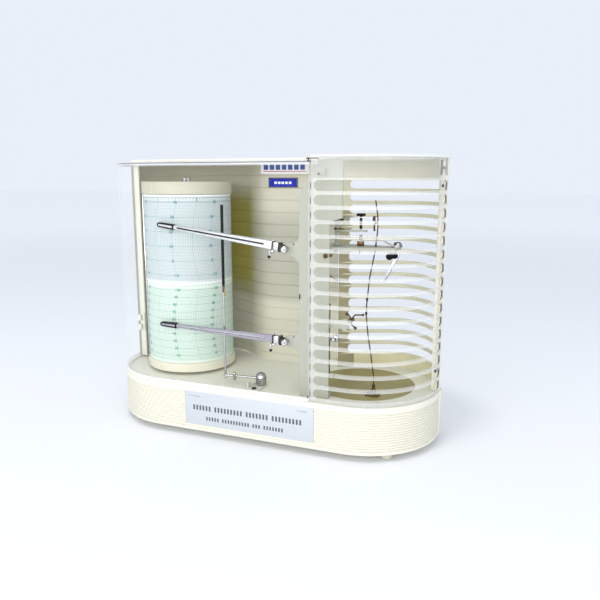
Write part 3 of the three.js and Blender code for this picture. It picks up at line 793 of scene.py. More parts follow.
SLOT_COLUMNS = 44
SLOT_RING = 8


def slot_cell(length, a, b, zc, h):
    """Points in (u, z) round a slot with round ends, and opposite them round its share of the wall."""
    columns, ring = SLOT_COLUMNS, SLOT_RING
    r = h / 2
    z0, z1 = zc - SLOT_PITCH / 2, zc + SLOT_PITCH / 2
    inner, outer = [], []
    for i in range(columns + 1):
        u = a + r + (b - a - 2 * r) * i / columns
        inner.append((u, zc - r))
        outer.append((u, z0))
    outer[0], outer[-1] = (0, z0), (length, z0)
    for i in range(1, ring):
        t = -math.pi / 2 + math.pi * i / ring
        inner.append((b - r + r * math.cos(t), zc + r * math.sin(t)))
        outer.append((length, z0 + (z1 - z0) * i / ring))
    for i in range(columns + 1):
        u = b - r - (b - a - 2 * r) * i / columns
        inner.append((u, zc + r))
        outer.append((u, z1))
    outer[columns + ring] = (length, z1)
    outer[2 * columns + ring] = (0, z1)
    for i in range(1, ring):
        t = math.pi / 2 + math.pi * i / ring
        inner.append((a + r + r * math.cos(t), zc + r * math.sin(t)))
        outer.append((0, z1 - (z1 - z0) * i / ring))
    return inner, outer


class Track:
    """Distance along a line in plan, and back to a place with an offset to its left."""

    def __init__(self, line):
        self.line = line
        self.side = normals(line)
        self.at = [0.0]
        for p, q in zip(line, line[1:]):
            self.at.append(self.at[-1] + math.dist(p, q))
        self.length = self.at[-1]

    def place(self, u, d, z):
        u = min(max(u, 0), self.length)
        i = 0
        while i < len(self.at) - 2 and self.at[i + 1] < u:
            i += 1
        t = (u - self.at[i]) / (self.at[i + 1] - self.at[i])
        x = self.line[i][0] * (1 - t) + self.line[i + 1][0] * t
        y = self.line[i][1] * (1 - t) + self.line[i + 1][1] * t
        nx = self.side[i][0] * (1 - t) + self.side[i + 1][0] * t
        ny = self.side[i][1] * (1 - t) + self.side[i + 1][1] * t
        size = math.hypot(nx, ny)
        return x + nx / size * d, y + ny / size * d, z


def slotted_wall(shape, line, near, far, z0, z1, slots, a, b, indices, collar):
    """A wall that follows a line, with slots from a to b along it.

    collar is the width of the lip round each slot. indices are the materials of the plain ends of
    the wall, the cut edges, the lip above each slot and the bands between the slots.
    """
    face_index, edge_index, lip_index, band_index = indices
    track = Track(line)
    lips, cells = [], []
    top = slots[0] + SLOT_PITCH / 2
    for zc in slots:
        edge, _ = slot_cell(track.length, a, b, zc, SLOT_H)
        lip, outer = slot_cell(track.length, a - collar, b + collar, zc, SLOT_H + 2 * collar)
        lips.append((edge, lip, zc))
        cells.append((lip, outer))
    bottom = slots[-1] - SLOT_PITCH / 2
    stations = [u for u, _ in cells[0][1][:SLOT_COLUMNS + 1]]

    def row(points, d):
        return [track.place(u, d, z) for u, z in points]

    def level(z, d):
        return [track.place(u, d, z) for u in stations]

    for d in (near, far):
        shape.index = band_index
        for inner, outer in cells:
            shape.ring(row(inner, d), row(outer, d))
        for edge, lip, zc in lips:
            for f in shape.ring(row(edge, d), row(lip, d)):
                above = f.calc_center_median().z > zc + SLOT_H * 0.3
                f.material_index = lip_index if above else face_index
        shape.index = face_index
        shape.ribbon(level(bottom, d), level(z0, d))
        shape.ribbon(level(top, d), level(z1, d))
    shape.index = edge_index
    for edge, _, _ in lips:
        shape.ring(row(edge, near), row(edge, far))
    for z in (z0, z1):
        shape.ribbon(level(z, near), level(z, far))
    for u in (0, track.length):
        levels = [z0]
        for zc in reversed(slots):
            levels += [zc - SLOT_PITCH / 2 + SLOT_PITCH * i / SLOT_RING for i in range(SLOT_RING)]
        upright = [(u, z) for z in levels + [top, z1]]
        shape.ribbon(row(upright, near), row(upright, far))


def build_louvres():
    front_slots = [SLOT_TOP_Z - SLOT_PITCH * i for i in range(FRONT_SLOTS)]
    cover = Shape()
    line = louvre_line()
    outer = Track(line)
    last_slot_end = outer.length - SLOT_END_GAP
    # The lip above each slot takes the near-white lip material, a painted highlight.
    slotted_wall(cover, line, 0, COVER_T, *heights("louvre_cover"), front_slots,
                 SLOT_LEFT_X - LOUVRE_EDGE_X, last_slot_end, (0, 1, 2, 3), 0.65)
    cover.bevel(0.5)
    cover.piece("louvre_cover_moulding", "case", "clear_cover", [SLAT_FACE, SLAT_EDGE, SLAT_LIP_PAINTED_HIGHLIGHT, SLAT_BAND],
                ["louvre_cover"])

    lid = Shape()
    lid.prism(line + [(LOUVRE_EDGE_X, 0)], *heights("louvre_lid"))
    lid.bevel(0.5, 3)
    for f in lid.bm.faces:
        f.material_index = 0 if abs(f.normal.z) > 0.9 else 1
    lid.piece("louvre_cover_lid", "case", "clear_cover", [LID_FACE, SLAT_EDGE], ["louvre_lid"])

    seam = Shape()
    under_lid = low("louvre_lid").z
    stations = [outer.length * i / 60 for i in range(61)]
    seam.swept([outer.place(u, -0.02, 0)[:2] for u in stations],
               lambda i: [(0, under_lid - 0.7), (0.3, under_lid - 0.7),
                          (0.3, under_lid + 0.1), (0, under_lid + 0.1)])
    # Dark marks at the cover's left edge beside each slot and round each slot's right end are painted shade
    # in the acrylic; more dark marks stand by the cover's middle-plane end.
    seam.index = 1
    for z in front_slots:
        seam.box(LOUVRE_EDGE_X + 0.1, LOUVRE_EDGE_X + 0.75, -COVER_R - 0.02,
                 -COVER_R + 0.3, z - 3.2, z + 2.6)
        rim = arc(last_slot_end - SLOT_H / 2, z, SLOT_H / 2 + 0.1, -70, 70, 10)
        seam.wire([outer.place(u, 0.1, level) for u, level in rim], 0.4, 6)
        x, y, _ = outer.place(outer.length - 2.4, 0, 0)
        seam.box(x - 0.5, x + 0.05, y - 0.5, y + 0.5, z - 4.4, z + 3.2)
    seam.piece("louvre_cover_seams_and_painted_shade", "case", "clear_cover", [LID_SEAM, DARK_PRINT_AND_SHADE_LINES])

    rear_slots = [SLOT_TOP_Z - SLOT_PITCH * i for i in range(REAR_SLOTS)]
    rear = Shape()
    line = louvre_lobe_line()
    length = Track(line).length
    slotted_wall(rear, line, 0, -REAR_T, *heights("rear_louvre_shell"), rear_slots,
                 REAR_SLOT_GAPS[0], length - REAR_SLOT_GAPS[1], (0, 0, 0, 0), 0.8)
    rear.bevel(0.5)
    below_slots = rear_slots[-1] - SLOT_H / 2 - 1
    for f in rear.bm.faces:
        centre = f.calc_center_median()
        # Front-facing shoulder faces take the darker olive, painted shade.
        if f.normal.y < -0.5 and centre.x < SHOULDER_X and centre.z < SHOULDER_Z:
            f.material_index = 1
        # Faces below the slots take the yellower colour, painted bounce light and shade.
        elif centre.z < below_slots:
            f.material_index = 2
    rear.piece("rear_louvres", "case", "housing", [HOUSING, SHOULDER_PAINTED_SHADE, LOWER_WALL_PAINTED_BOUNCE], ["rear_louvre_shell"])

    # A thin ochre disc on the deck of the sensor bay: painted shade on its floor.
    floor = Shape()
    floor.disc(SENSOR_SHADE_SHEET_R, END_X, 0, DECK_Z + 0.05, DECK_Z + 0.28, 96)
    floor.piece("sensor_bay_painted_shade_sheet", "case", "base", [BAY_FLOOR_PAINTED_SHADE])


# ------------------------------------------------------------------ door


def build_door():
    floor, roof = low("door_panel").z, high("door_top").z
    r = 3
    lip = 3.4
    corner = arc(r, roof - r, r, 180, 90, 6)
    line = door_line()
    panel = Shape()
    loop = [(COVER_T, floor), (0, floor), (0, floor + 1.4), (0.35, floor + 1.7),
            (0, floor + 2), (0, floor + lip), (0, roof - r)] + corner[1:]
    loop += [(r + 1, roof), (r + 1, roof - COVER_T), (COVER_T, roof - COVER_T)]
    panel.swept(line, lambda i: loop)
    # Under the rounded top corner a thin dark line is painted, standing for refraction in the top edge, and
    # the band below it is a painted highlight.
    for f in panel.bm.faces:
        z = f.calc_center_median().z
        below_roof = (roof - z) / r
        if z < floor + lip or below_roof < 0.3:
            f.material_index = 1
        elif below_roof < 0.45:
            f.material_index = 3
        elif below_roof < 1.1:
            f.material_index = 2
    top = Shape()
    inset = [(x + nx * (r + 1), y + ny * (r + 1)) for (x, y), (nx, ny) in zip(line, normals(line))]
    top.prism(inset + [(DOOR_EDGE_X, 0), (-END_X - COVER_R + r + 1, 0)], roof - COVER_T, roof)
    for f in top.bm.faces:
        f.normal_update()
        f.material_index = 0 if abs(f.normal.z) > 0.9 else 1
    panel.piece("door_panel_moulding", "door", "clear_cover", [CLEAR_FACE, CLEAR_EDGE, CLEAR_PAINTED_HIGHLIGHT, DARK_PRINT_AND_SHADE_LINES],
                ["door_panel"])
    top.piece("door_top_moulding", "door", "clear_cover", [LID_FACE, CLEAR_EDGE], ["door_top"])

    edges = Shape()
    x = DOOR_EDGE_X
    edges.box(x - 1.2, x, -COVER_R, -COVER_R + COVER_T, floor, roof - r)
    edges.box(-END_X - COVER_R, -END_X - COVER_R + COVER_T, -1.4, -0.1, floor, roof - r)
    edges.bevel(0.3)
    edges.piece("door_edge_strips", "door", "clear_cover", [SLAT_FACE])

    pin = Shape()
    lo, hi = ends("hinge_pin")
    pin.disc(0.6, HINGE_X, HINGE_Y, lo.z, hi.z)
    arm_z = hi.z - 1
    pin.box(lo.x, DOOR_EDGE_X + 0.2, HINGE_Y - 1.2, HINGE_Y + 5, arm_z, hi.z)
    pin.box(lo.x, hi.x, HINGE_Y + 2, HINGE_Y + 5, arm_z, hi.z)
    pin.bevel(0.2)
    pin.piece("hinge_pin_bracket", "case", "dark_metal", [DARK_METAL], ["hinge_pin"])


# ------------------------------------------------------------------ drum


UPPER_SCALE = (152.5, 234)
LOWER_SCALE = (66.5, 144.5)
HEAD_TICKS = (235.2, 237.4)
HEAD_LINES = ((234.0, 234.5), (237.6, 238.2))
MIDDLE_TICKS = (146.2, 148.2)
WHITE_GAPS = ((239.2, 241), (149.4, 150.4))
SCALES_MEET_Z = 149
NUMBER_COLUMN = 0.254
DAY_NUMBER_SHIFT = 28
DAY_NUMBER_Z = 236


def chart_material():
    """Printed recorder paper. UV holds the distance round the drum and the height, in millimetres."""
    look = Look("chart_print")
    uv = look.node("UVMap", uv_map="UVMap").outputs["UV"]
    split = look.node("SeparateXYZ", [("Vector", uv)])
    u, v = split.outputs["X"], split.outputs["Y"]

    def both(a, b):
        return look.math("MULTIPLY", a, b)

    def either(a, b):
        return look.math("MAXIMUM", a, b)

    def lines(value, pitch, width, phase=0.0):
        moved = look.math("ADD", value, -phase)
        return look.math("LESS_THAN", look.math("PINGPONG", moved, pitch / 2), width / 2)

    def within(limits):
        return both(look.math("GREATER_THAN", v, limits[0]), look.math("LESS_THAN", v, limits[1]))

    def bowed(pivot):
        """Time lines are arcs of the pen's reach about its pivot height."""
        rise = look.math("ADD", v, -pivot)
        root = look.math("SQRT", look.math("SUBTRACT", CHART_BOW * CHART_BOW, both(rise, rise)))
        return look.math("ADD", u, look.math("ADD", root, -CHART_BOW))

    def zone(limits, pivot, step, phase, fine):
        w = bowed(pivot)
        marks = 0.0
        for layer, weight in ((lines(v, fine, 0.34, phase), 0.55), (lines(w, HOUR, 0.4, HOUR_PHASE), 0.62),
                              (lines(v, 10 * step, 0.55, phase), 0.72),
                              (lines(w, 12 * HOUR, 0.55, HOUR_PHASE), 0.72)):
            marks = either(marks, both(layer, weight))
        return both(marks, within(limits))

    upper = zone(UPPER_SCALE, TEMP_PIVOT.z, DEGREE_STEP, TEMP_ZERO, DEGREE_STEP)
    lower = zone(LOWER_SCALE, HUMID_PIVOT.z, HUMID_STEP, HUMID_FIFTY, 2 * HUMID_STEP)
    ticks = both(lines(u, 2 * HOUR, 0.5), either(within(HEAD_TICKS), within(MIDDLE_TICKS)))
    head = either(ticks, either(*[within(limits) for limits in HEAD_LINES]))
    marks = either(either(upper, lower), both(head, 0.7))
    white = either(*[within(limits) for limits in WHITE_GAPS])

    side = look.math("GREATER_THAN", v, SCALES_MEET_Z)
    blotch = look.noise(30)
    paper_low = look.mix(blotch, (0.66, 0.75, 0.67), (0.70, 0.78, 0.70))
    paper_high = look.mix(blotch, (0.61, 0.645, 0.63), (0.65, 0.68, 0.67))
    paper = look.mix(white, look.mix(side, paper_low, paper_high), (0.90, 0.93, 0.90))
    ink = look.mix(side, (0.11, 0.30, 0.24), (0.09, 0.25, 0.29))
    look.set("Base Color", look.mix(marks, paper, ink))
    look.set("Roughness", 0.75)
    look.bump(look.noise(900), 0.15, 0.05 * MM)
    return look.material


def on_drum(angle, r, z):
    return DRUM.x + r * math.cos(angle), r * math.sin(angle), z


def build_chart():
    shape = Shape()
    n = 180
    r0, r1 = CHART_R - 0.35, CHART_R
    for i in range(n):
        a, b = (2 * math.pi * k / n + CHART_START for k in (i, i + 1))
        verts = [on_drum(t, r, z) for t in (a, b) for r, z in
                 ((r0, CHART_LOW), (r1, CHART_LOW), (r1, CHART_HIGH), (r0, CHART_HIGH))]
        middle_turn = 2 * math.pi * (i + 0.5) / n
        for f in shape.add(verts, [(1, 5, 6, 2), (0, 3, 7, 4), (2, 6, 7, 3), (0, 4, 5, 1)]):
            for loop in f.loops:
                p = loop.vert.co
                turn = math.atan2(p.y, p.x - DRUM.x) - CHART_START
                turn += 2 * math.pi * round((middle_turn - turn) / (2 * math.pi))
                loop[shape.uv].uv = (turn * CHART_R, p.z)
    shape.piece("chart_sheet", "drum", "chart", [chart_material()], ["chart_paper"])


def printed_digits(text, size):
    """The outline mesh of some digits, centred on the origin: (points, faces)."""
    curve = bpy.data.curves.new("digits", "FONT")
    curve.body = text
    curve.size = size
    curve.align_x = "CENTER"
    curve.align_y = "CENTER"
    curve.resolution_u = 2
    curve.offset = 0.04 * size
    holder = bpy.data.objects.new("digits", curve)
    bpy.context.collection.objects.link(holder)
    bpy.context.view_layer.update()
    flat = holder.evaluated_get(bpy.context.evaluated_depsgraph_get()).to_mesh()
    points = [tuple(v.co) for v in flat.vertices]
    faces = [tuple(p.vertices) for p in flat.polygons]
    bpy.data.objects.remove(holder)
    bpy.data.curves.remove(curve)
    return points, faces


def build_chart_numbers():
    """Scale numbers, wrapped round the drum, one column a day, and the day's number above it."""
    day = 24 * HOUR
    column = NUMBER_COLUMN * day
    temps = [(str(t), TEMP_ZERO + t * DEGREE_STEP, 4.4) for t in range(40, -11, -10)]
    humids = [(str(h), HUMID_FIFTY + (h - 50) * HUMID_STEP, 3.9) for h in range(10, 101, 10)]
    teal = moulded_plastic("teal_ink", (0.12, 0.30, 0.33), 0.8, 0.9, 300)
    green = moulded_plastic("green_ink", (0.12, 0.34, 0.26), 0.8, 0.9, 300)

    def write(shape, digits, distance, height):
        points, faces = digits
        turn = CHART_START + distance / CHART_R
        wrapped = [on_drum(turn + x / CHART_R, CHART_R + 0.03, height + y) for x, y, _ in points]
        shape.add(wrapped, faces)

    for zone, items, pivot, ink in (("temp", temps, TEMP_PIVOT.z, teal),
                                    ("humid", humids, HUMID_PIVOT.z, green)):
        shape = Shape()
        for text, height, size in items:
            digits = printed_digits(text, size)
            bow = CHART_BOW - math.sqrt(CHART_BOW ** 2 - (height - pivot) ** 2)
            for k in range(7):
                write(shape, digits, column + k * day + bow, height)
        if zone == "temp":
            for k in range(7):
                digits = printed_digits(str(k + 1), 4)
                write(shape, digits, column + DAY_NUMBER_SHIFT + k * day, DAY_NUMBER_Z)
        shape.piece(f"chart_numbers_{zone}", "drum", "chart", [ink], smooth=None)


def notches(*angles):
    """Makes a fine upright groove at each angle in the outer face of a turned ring."""
    centres = [math.radians(a) for a in angles]

    def notched(a, r):
        near = min(abs((a - c + math.pi) % (2 * math.pi) - math.pi) for c in centres)
        return r - 0.8 if near < math.radians(0.8) and r > CAP_R - 0.4 else r

    return notched


def build_drum():
    lo, hi = heights("drum_cap")
    dish = hi - 3.5
    cap = Shape()
    cap.lathe([
        (2.6, dish), (2.6, dish - 2), (CAP_R - 4.2, dish - 2),
        (CAP_R - 4.2, lo), (CAP_R - 0.5, lo), (CAP_R, lo + 0.5), (CAP_R, hi - 0.8),
        (CAP_R - 0.3, hi - 0.2), (CAP_R - 0.9, hi), (CAP_R - 1.8, hi),
        (CAP_R - 2.3, hi - 0.5), (CAP_R - 3.2, dish + 0.6), (CAP_R - 4.4, dish),
        (8, dish), (7.5, dish + 0.4), (5, dish + 0.4), (4.5, dish),
    ], DRUM.x, 0, 360, notches(-106.6, -101.1, 13.4, 18.9, 133.4, 138.9))
    cap.piece("drum_cap_moulding", "drum", "drum", [DRUM_CREAM], ["drum_cap"], 40)

    lo, hi = heights("drum_flange")
    flange = Shape()
    flange.lathe([
        (8, lo), (CAP_R - 0.8, lo), (CAP_R, lo + 0.8), (CAP_R, hi - 0.5),
        (CAP_R - 0.5, hi), (CAP_R - 1.7, hi), (CAP_R - 1.7, lo + 1.8), (8, lo + 1.8),
    ], DRUM.x, 0, 360, notches(-104.9, -99.8, 15.1, 20.2, 135.1, 140.2))
    flange.piece("drum_flange_moulding", "drum", "drum", [FLANGE_CREAM], ["drum_flange"], 40)

    tube = Shape()
    r = (high("drum_shell").x - low("drum_shell").x) / 2
    lo, hi = heights("drum_shell")
    tube.lathe([(r - 1.8, lo), (r, lo), (r, hi), (r - 1.8, hi)], DRUM.x, 0, 120)
    tube.piece("drum_tube", "drum", "drum", [DRUM_CREAM], ["drum_shell"])

    clip = Shape()
    turn = Matrix.Translation((DRUM.x, 0, 0)) @ Matrix.Rotation(math.radians(-147), 4, "Z")
    lo, hi = heights("chart_clip")
    clip.box(CHART_R + 0.25, CHART_R + 0.9, -3, 3, lo, hi, turn)
    clip.box(CHART_R + 0.85, CHART_R + 1.3, -0.9, 0.9, lo + 4, hi - 4, turn)
    clip.bevel(0.15)
    clip.piece("chart_clip_strip", "drum", "polished_metal", [STEEL], ["chart_clip"])

    nut = Shape()
    z0, z1 = heights("thumb_nut")
    head = z1 - 4.4
    side = [(2.1, z1 - 2), (2.1, z0), (3.1, z0), (3.1, head - 0.4), (3.9, head), (3.9, z1 - 0.4), (3.3, z1)]
    nut.turned(DRUM.x, 0, 0, side, 80, knurled(40, 3.8, 0.18))
    nut.piece("thumb_nut_knurled", "nut", "polished_metal", [GREY_METAL], ["thumb_nut"], 20)

    spindle = Shape()
    z0, z1 = heights("drum_spindle")
    side = [(7, z0), (7, z0 + 1.8), (6.4, z0 + 2.1), (3, z0 + 2.1), (3, z1 - 7.2), (1.9, z1 - 7.2)]
    spindle.turned(DRUM.x, 0, 0, side + [(1.9, z1 - 0.4), (1.5, z1)], 40)
    spindle.piece("drum_spindle_turned", "case", "polished_metal", [STEEL], ["drum_spindle"])


def surface_cad_nodes():
    """Gives the CAD nodes that stay better materials."""
    kept = {"clock_case": BLACK, "battery": BLUE_FILM, "centre_gear": BRASS, "clock_pinion": BRASS,
            "drum_bush": BRASS, "temp_crank": STEEL, "humid_crank": STEEL}
    for node, material in kept.items():
        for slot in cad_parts[node].material_slots:
            slot.material = material


# ------------------------------------------------------------------ pen plate


def build_pen_plate():
    y0, y1 = low("pen_plate").y, low("pen_plate").y + 2.4
    left, right, top = 50.5, high("pen_plate").x, high("pen_plate").z
    floor = low("pen_plate").z
    tip = low("pen_plate").x
    door_roof = low("door_top").z - 0.8
    outline = [(left, floor)]

    def tab(z):
        """A tab that reaches left from the plate, with hollow fillets above and below."""
        below = bezier((left, z - 17), (left, z - 7.5), (tip + 8, z - 7),
                       (tip + 1.5, z - 4.6), 10)
        nose = bezier((tip + 1.5, z - 4.6), (tip - 0.4, z - 3.8), (tip - 0.4, z + 2.6),
                      (tip + 1.5, z + 4), 8)
        above = bezier((tip + 1.5, z + 4), (left - 3, z + 6), (left, z + 6.5),
                       (left, z + 15), 10)
        return below + nose[1:] + above[1:]

    outline += tab(HUMID_PIVOT.z) + tab(TEMP_PIVOT.z)
    outline += bezier((left, 238), (left + 0.5, 252), (63, 252), (64, door_roof), 10)
    outline += [(68.5, door_roof), (68.5, top), (right, top), (right, 222), (80, 219),
                (80, floor)]
    plate = Shape()
    plate.wall(without_repeats(outline), y0, y1)
    plate.box(52, 79, y1 - 0.5, y1 + 12, floor, floor + 2.7)
    gusset = [(y1 - 0.2, floor + 2.6), (y1 + 11, floor + 2.6), (y1 - 0.2, floor + 15.6)]
    turn = Matrix(((0, 0, 1, 0), (1, 0, 0, 0), (0, 1, 0, 0), (0, 0, 0, 1)))
    plate.prism(gusset, 65, 67, turn)
    lug_top = door_roof - 3.5
    plate.box(68.6, 76.4, y0 - 2.8, y0 + 0.3, lug_top - 6, lug_top)
    plate.bevel(0.35)
    plate.piece("pen_plate_moulding", "case", "frame_plastic", [FRAME_CREAM], ["pen_plate"])

    screws = Shape()
    for x in (57, 74):
        screws.turned(x, y1 + 7.5, floor, [(2.6, 2.4), (2.6, 3.8), (2, 4.4)])
    face = y0 - 0.2
    screws.box(50.8, 51.6, face - 0.9, face + 0.4, 146, 150.5)
    screws.bar((70.6, face - 4, lug_top - 5), (70.6, face - 2, lug_top - 5), 1.2)
    for z in (TEMP_PIVOT.z + 4.5, HUMID_PIVOT.z + 4.5):
        screws.bar((45, face - 0.5, z), (45, face + 0.4, z), 0.6)
    screws.piece("pen_plate_screws", "case", "dark_metal", [DARK_METAL])


# ------------------------------------------------------------------ pens


def build_pen(prefix, pivot, slope, blade_metal, groove_metal):
    """The arm lies along -X from the pivot; the frame below puts it at its slope and toe-in."""
    hinge = Vector((pivot.x, PEN_ROOT_Y, pivot.z))
    sloped = Matrix.Translation(hinge) @ Matrix.Rotation(slope, 4, "Y")
    raised = sloped @ Matrix.Translation((0, 0, PEN_RISE))
    lying = sloped @ Matrix.Rotation(-PEN_TOE_IN, 4, "Z") @ Matrix.Translation((0, 0, PEN_RISE))

    swing = prefix + "_swing"
    lift = prefix + "_lift"
    knob = low(prefix + "_spindle").y
    spindle = Shape()
    spindle.bar((pivot.x, knob + 3, pivot.z), (pivot.x, high(prefix + "_spindle").y, pivot.z), 1.5)
    spindle.bar((pivot.x, knob + 0.9, pivot.z), (pivot.x, knob + 4.2, pivot.z), 3.1, 36)
    spindle.bar((pivot.x, knob, pivot.z), (pivot.x, knob + 0.9, pivot.z), 2.3, 36, 3.1)
    spindle.piece(prefix + "_spindle_turned", swing, "polished_metal", [STEEL], [prefix + "_spindle"])
    cap = Shape()
    cap.bar((pivot.x + 1, knob - 0.03, pivot.z), (pivot.x + 1, knob + 0.6, pivot.z), 1.1)
    cap.piece(prefix + "_spindle_tip", swing, "brass_parts", [GREY_METAL])

    yoke = Shape()
    yoke.box(-12.6, -7.2, -2.6, 2.6, -3.9, 3.9, raised)
    yoke.bevel(0.7, 3)
    yoke.index = 1
    yoke.box(-7.4, -2.2, -2.2, 2.2, -2.9, 2.3, raised)
    yoke.box(-6.6, -4.4, -2.8, 2.4, -4.6, 4.2, raised)
    yoke.box(-13.9, -12.4, -2.3, 2.3, -4.4, 4.6, raised)
    yoke.index = 0
    yoke.disc(1.3, -13.3, 0, 4.4, 5.9, 20, raised)
    yoke.disc(0.8, -13.3, 0, -5.4, -4, 16, raised)
    yoke.piece(prefix + "_yoke_turned", swing, "polished_metal", [STEEL, DARK_METAL], [prefix + "_yoke"])

    arm = Shape()
    root, end = -PEN_ROOT, NIB_LENGTH - PEN_LENGTH
    groove_root, groove_end = root - 9.5, end + 3.5

    def half(x):
        return 4.2 - 2.1 * (x - root) / (end - root)

    stations = [root, root - 5, groove_root + 0.8, groove_root, -50, -80, -105,
                groove_end, groove_end - 0.8, end]
    front, rail = -1.3, 0.8
    rows = []
    for x in stations:
        h = half(x)
        depth = -0.4 if groove_end <= x <= groove_root else front
        rows.append([(x, 1.2, -h + 0.4), (x, -0.5, -h), (x, front, -h + 0.5),
                     (x, front, -rail), (x, depth, -rail + 0.3), (x, depth, rail - 0.45),
                     (x, front, rail), (x, front, h - 0.5), (x, -0.5, h),
                     (x, 1.2, h - 0.4)])
    made = arm.tube(rows, lying)
    # The groove's walls and floor take the groove metal; on the temperature pen this is painted shade in
    # the groove.
    first = stations.index(groove_root)
    for i in range(first, stations.index(groove_end)):
        for k in (3, 4, 5):
            made[2 + i * len(rows[0]) + k].material_index = 1
    arm.piece(prefix + "_arm_blade", lift, "arm_metal", [blade_metal, groove_metal], [prefix + "_arm"], 25)

    nib = Shape()
    tip_r = 2.4
    tip_x = -(PEN_LENGTH - tip_r)
    outline = arc(tip_x, 0, tip_r, 90, 270, 16) + [(end, -2.9), (end, 2.9)]
    nib.wall(outline, -1.5, 1.7, lying)
    nib.bevel(0.3, 3)
    nib.index = 1
    inner = arc(tip_x + 0.4, 0, 0.9, 90, 270, 12) + [(end - 2, -1.1), (end - 2, 1.1)]
    nib.wall(inner, -1.75, -1.3, lying)
    nib.piece(prefix + "_pen_capsule", lift, "black_plastic", [BLACK, blade_metal], [prefix + "_pen"])

    screw = Shape()
    ball_x, drop_x = -11.7, -14.6
    front_y = -3.9
    screw.ball((ball_x, front_y, -4.6), 1.7, lying)
    screw.ball((drop_x, front_y, -5.6), 1.3, lying)
    screw.disc(0.7, drop_x, front_y, -9.4, -5.6, 16, lying)
    screw.bar(lying @ Vector((ball_x, front_y, -4.6)), lying @ Vector((drop_x, front_y, -5.6)), 0.8)
    screw.bar(lying @ Vector((drop_x, front_y, -5.4)), lying @ Vector((drop_x, -0.6, -3.6)), 0.8)
    screw.index = 1
    screw.ball((drop_x - 0.2, front_y, -10.6), 1.6, lying)
    screw.piece(prefix + "_gate_screw_turned", lift, "polished_metal", [STEEL, DARK_METAL],
                [prefix + "_gate_screw"], 40)


# ------------------------------------------------------------------ pen lifter


def build_lifter():
    rod = middle("lifter_sleeve")
    knob = middle("lifter_knob")
    lever_z = DECK_Z + 8.4
    wire = Shape()
    sleeve_low = low("lifter_sleeve").z
    wire.bar((rod.x, rod.y, DECK_Z + 6.6), (rod.x, rod.y, sleeve_low + 0.4), 1.1)
    wire.bar((rod.x, rod.y, lever_z), (knob.x - 4, knob.y - 0.4, lever_z), 1.1)
    wire.ball((rod.x, rod.y, DECK_Z + 7), 1.9)
    wire.bar((rod.x + 10, rod.y + 0.6, lever_z - 4.4),
             (rod.x + 10, rod.y + 0.6, lever_z + 2), 1.6)
    wire.ball((rod.x + 10, rod.y + 0.6, lever_z + 2.4), 1.9)
    wire.piece("lifter_wire", "lifter", "polished_metal", [DARK_STEEL], ["lifter_rod"])

    sleeve = Shape()
    neck, z1 = sleeve_low + 7, high("lifter_sleeve").z
    sleeve.turned(rod.x, rod.y, 0, [(1.3, neck - 0.2), (1.45, neck + 1), (1.45, z1 - 0.6), (1, z1)])
    sleeve.index = 1
    sleeve.turned(rod.x, rod.y, sleeve_low, [(1, 0), (1.2, 1), (1.2, 7)])
    sleeve.piece("lifter_black_sleeve", "lifter", "black_plastic", [BLACK, BROWN], ["lifter_sleeve"])
    tie = Shape()
    tie.bar((rod.x + 1.9, rod.y - 0.6, sleeve_low - 3),
            (rod.x + 1.9, rod.y - 0.6, sleeve_low + 3), 0.8)
    tie.piece("lifter_tie", "lifter", "brass_parts", [BRASS])

    dome = Shape()
    z0, z1 = heights("lifter_knob")
    profile = [(2.1, z1 - 3), (2.1, z0), (4.9, z0), (5.4, z0 + 0.5)]
    for k in range(3):
        z = z0 + 1.6 + 2.1 * k
        profile += [(5.4, z), (4.9, z + 0.25), (4.9, z + 0.6), (5.4, z + 0.85)]
    for a in range(0, 91, 15):
        profile.append((5.2 * math.cos(math.radians(a)), z1 - 4.4 + 4.4 * math.sin(math.radians(a))))
    profile += [(0, z1 - 3)]
    dome.lathe(profile, knob.x, knob.y, 72, knurled(36, 5.3, 0.14))
    dome.piece("lifter_dome_knob", "lifter", "polished_metal", [DARK_STEEL], ["lifter_knob"], 30)

    foot = Shape()
    z = DECK_Z + GAP
    x, y = knob.x, knob.y
    foot.prism([(x - 9, y - 19), (x + 3, y - 19), (x + 5, y - 17),
                (x + 5, y + 4), (x - 9, y + 4)], z, z + 1.3)
    foot.box(x - 9, x - 7.6, y - 14, y - 8, z, z + 6.5)
    foot.bevel(0.3)
    foot.disc(2, x, y, z + 1, high("lifter_foot").z, 24)
    # The metal foot plate takes pale cream, a painted reflection of the deck.
    foot.piece("lifter_foot_plate", "case", "polished_metal", [DECK_REFLECTION_CREAM], ["lifter_foot"])
    screw = Shape()
    screw.lathe([(0, z + 1), (2.4, z + 1), (2.4, z + 1.9), (1.7, z + 2.9), (0, z + 3.1)],
                x - 1, y - 14.5, 24)
    screw.piece("lifter_foot_screw", "case", "dark_metal", [DARK_METAL])


# ------------------------------------------------------------------ sensing mechanism


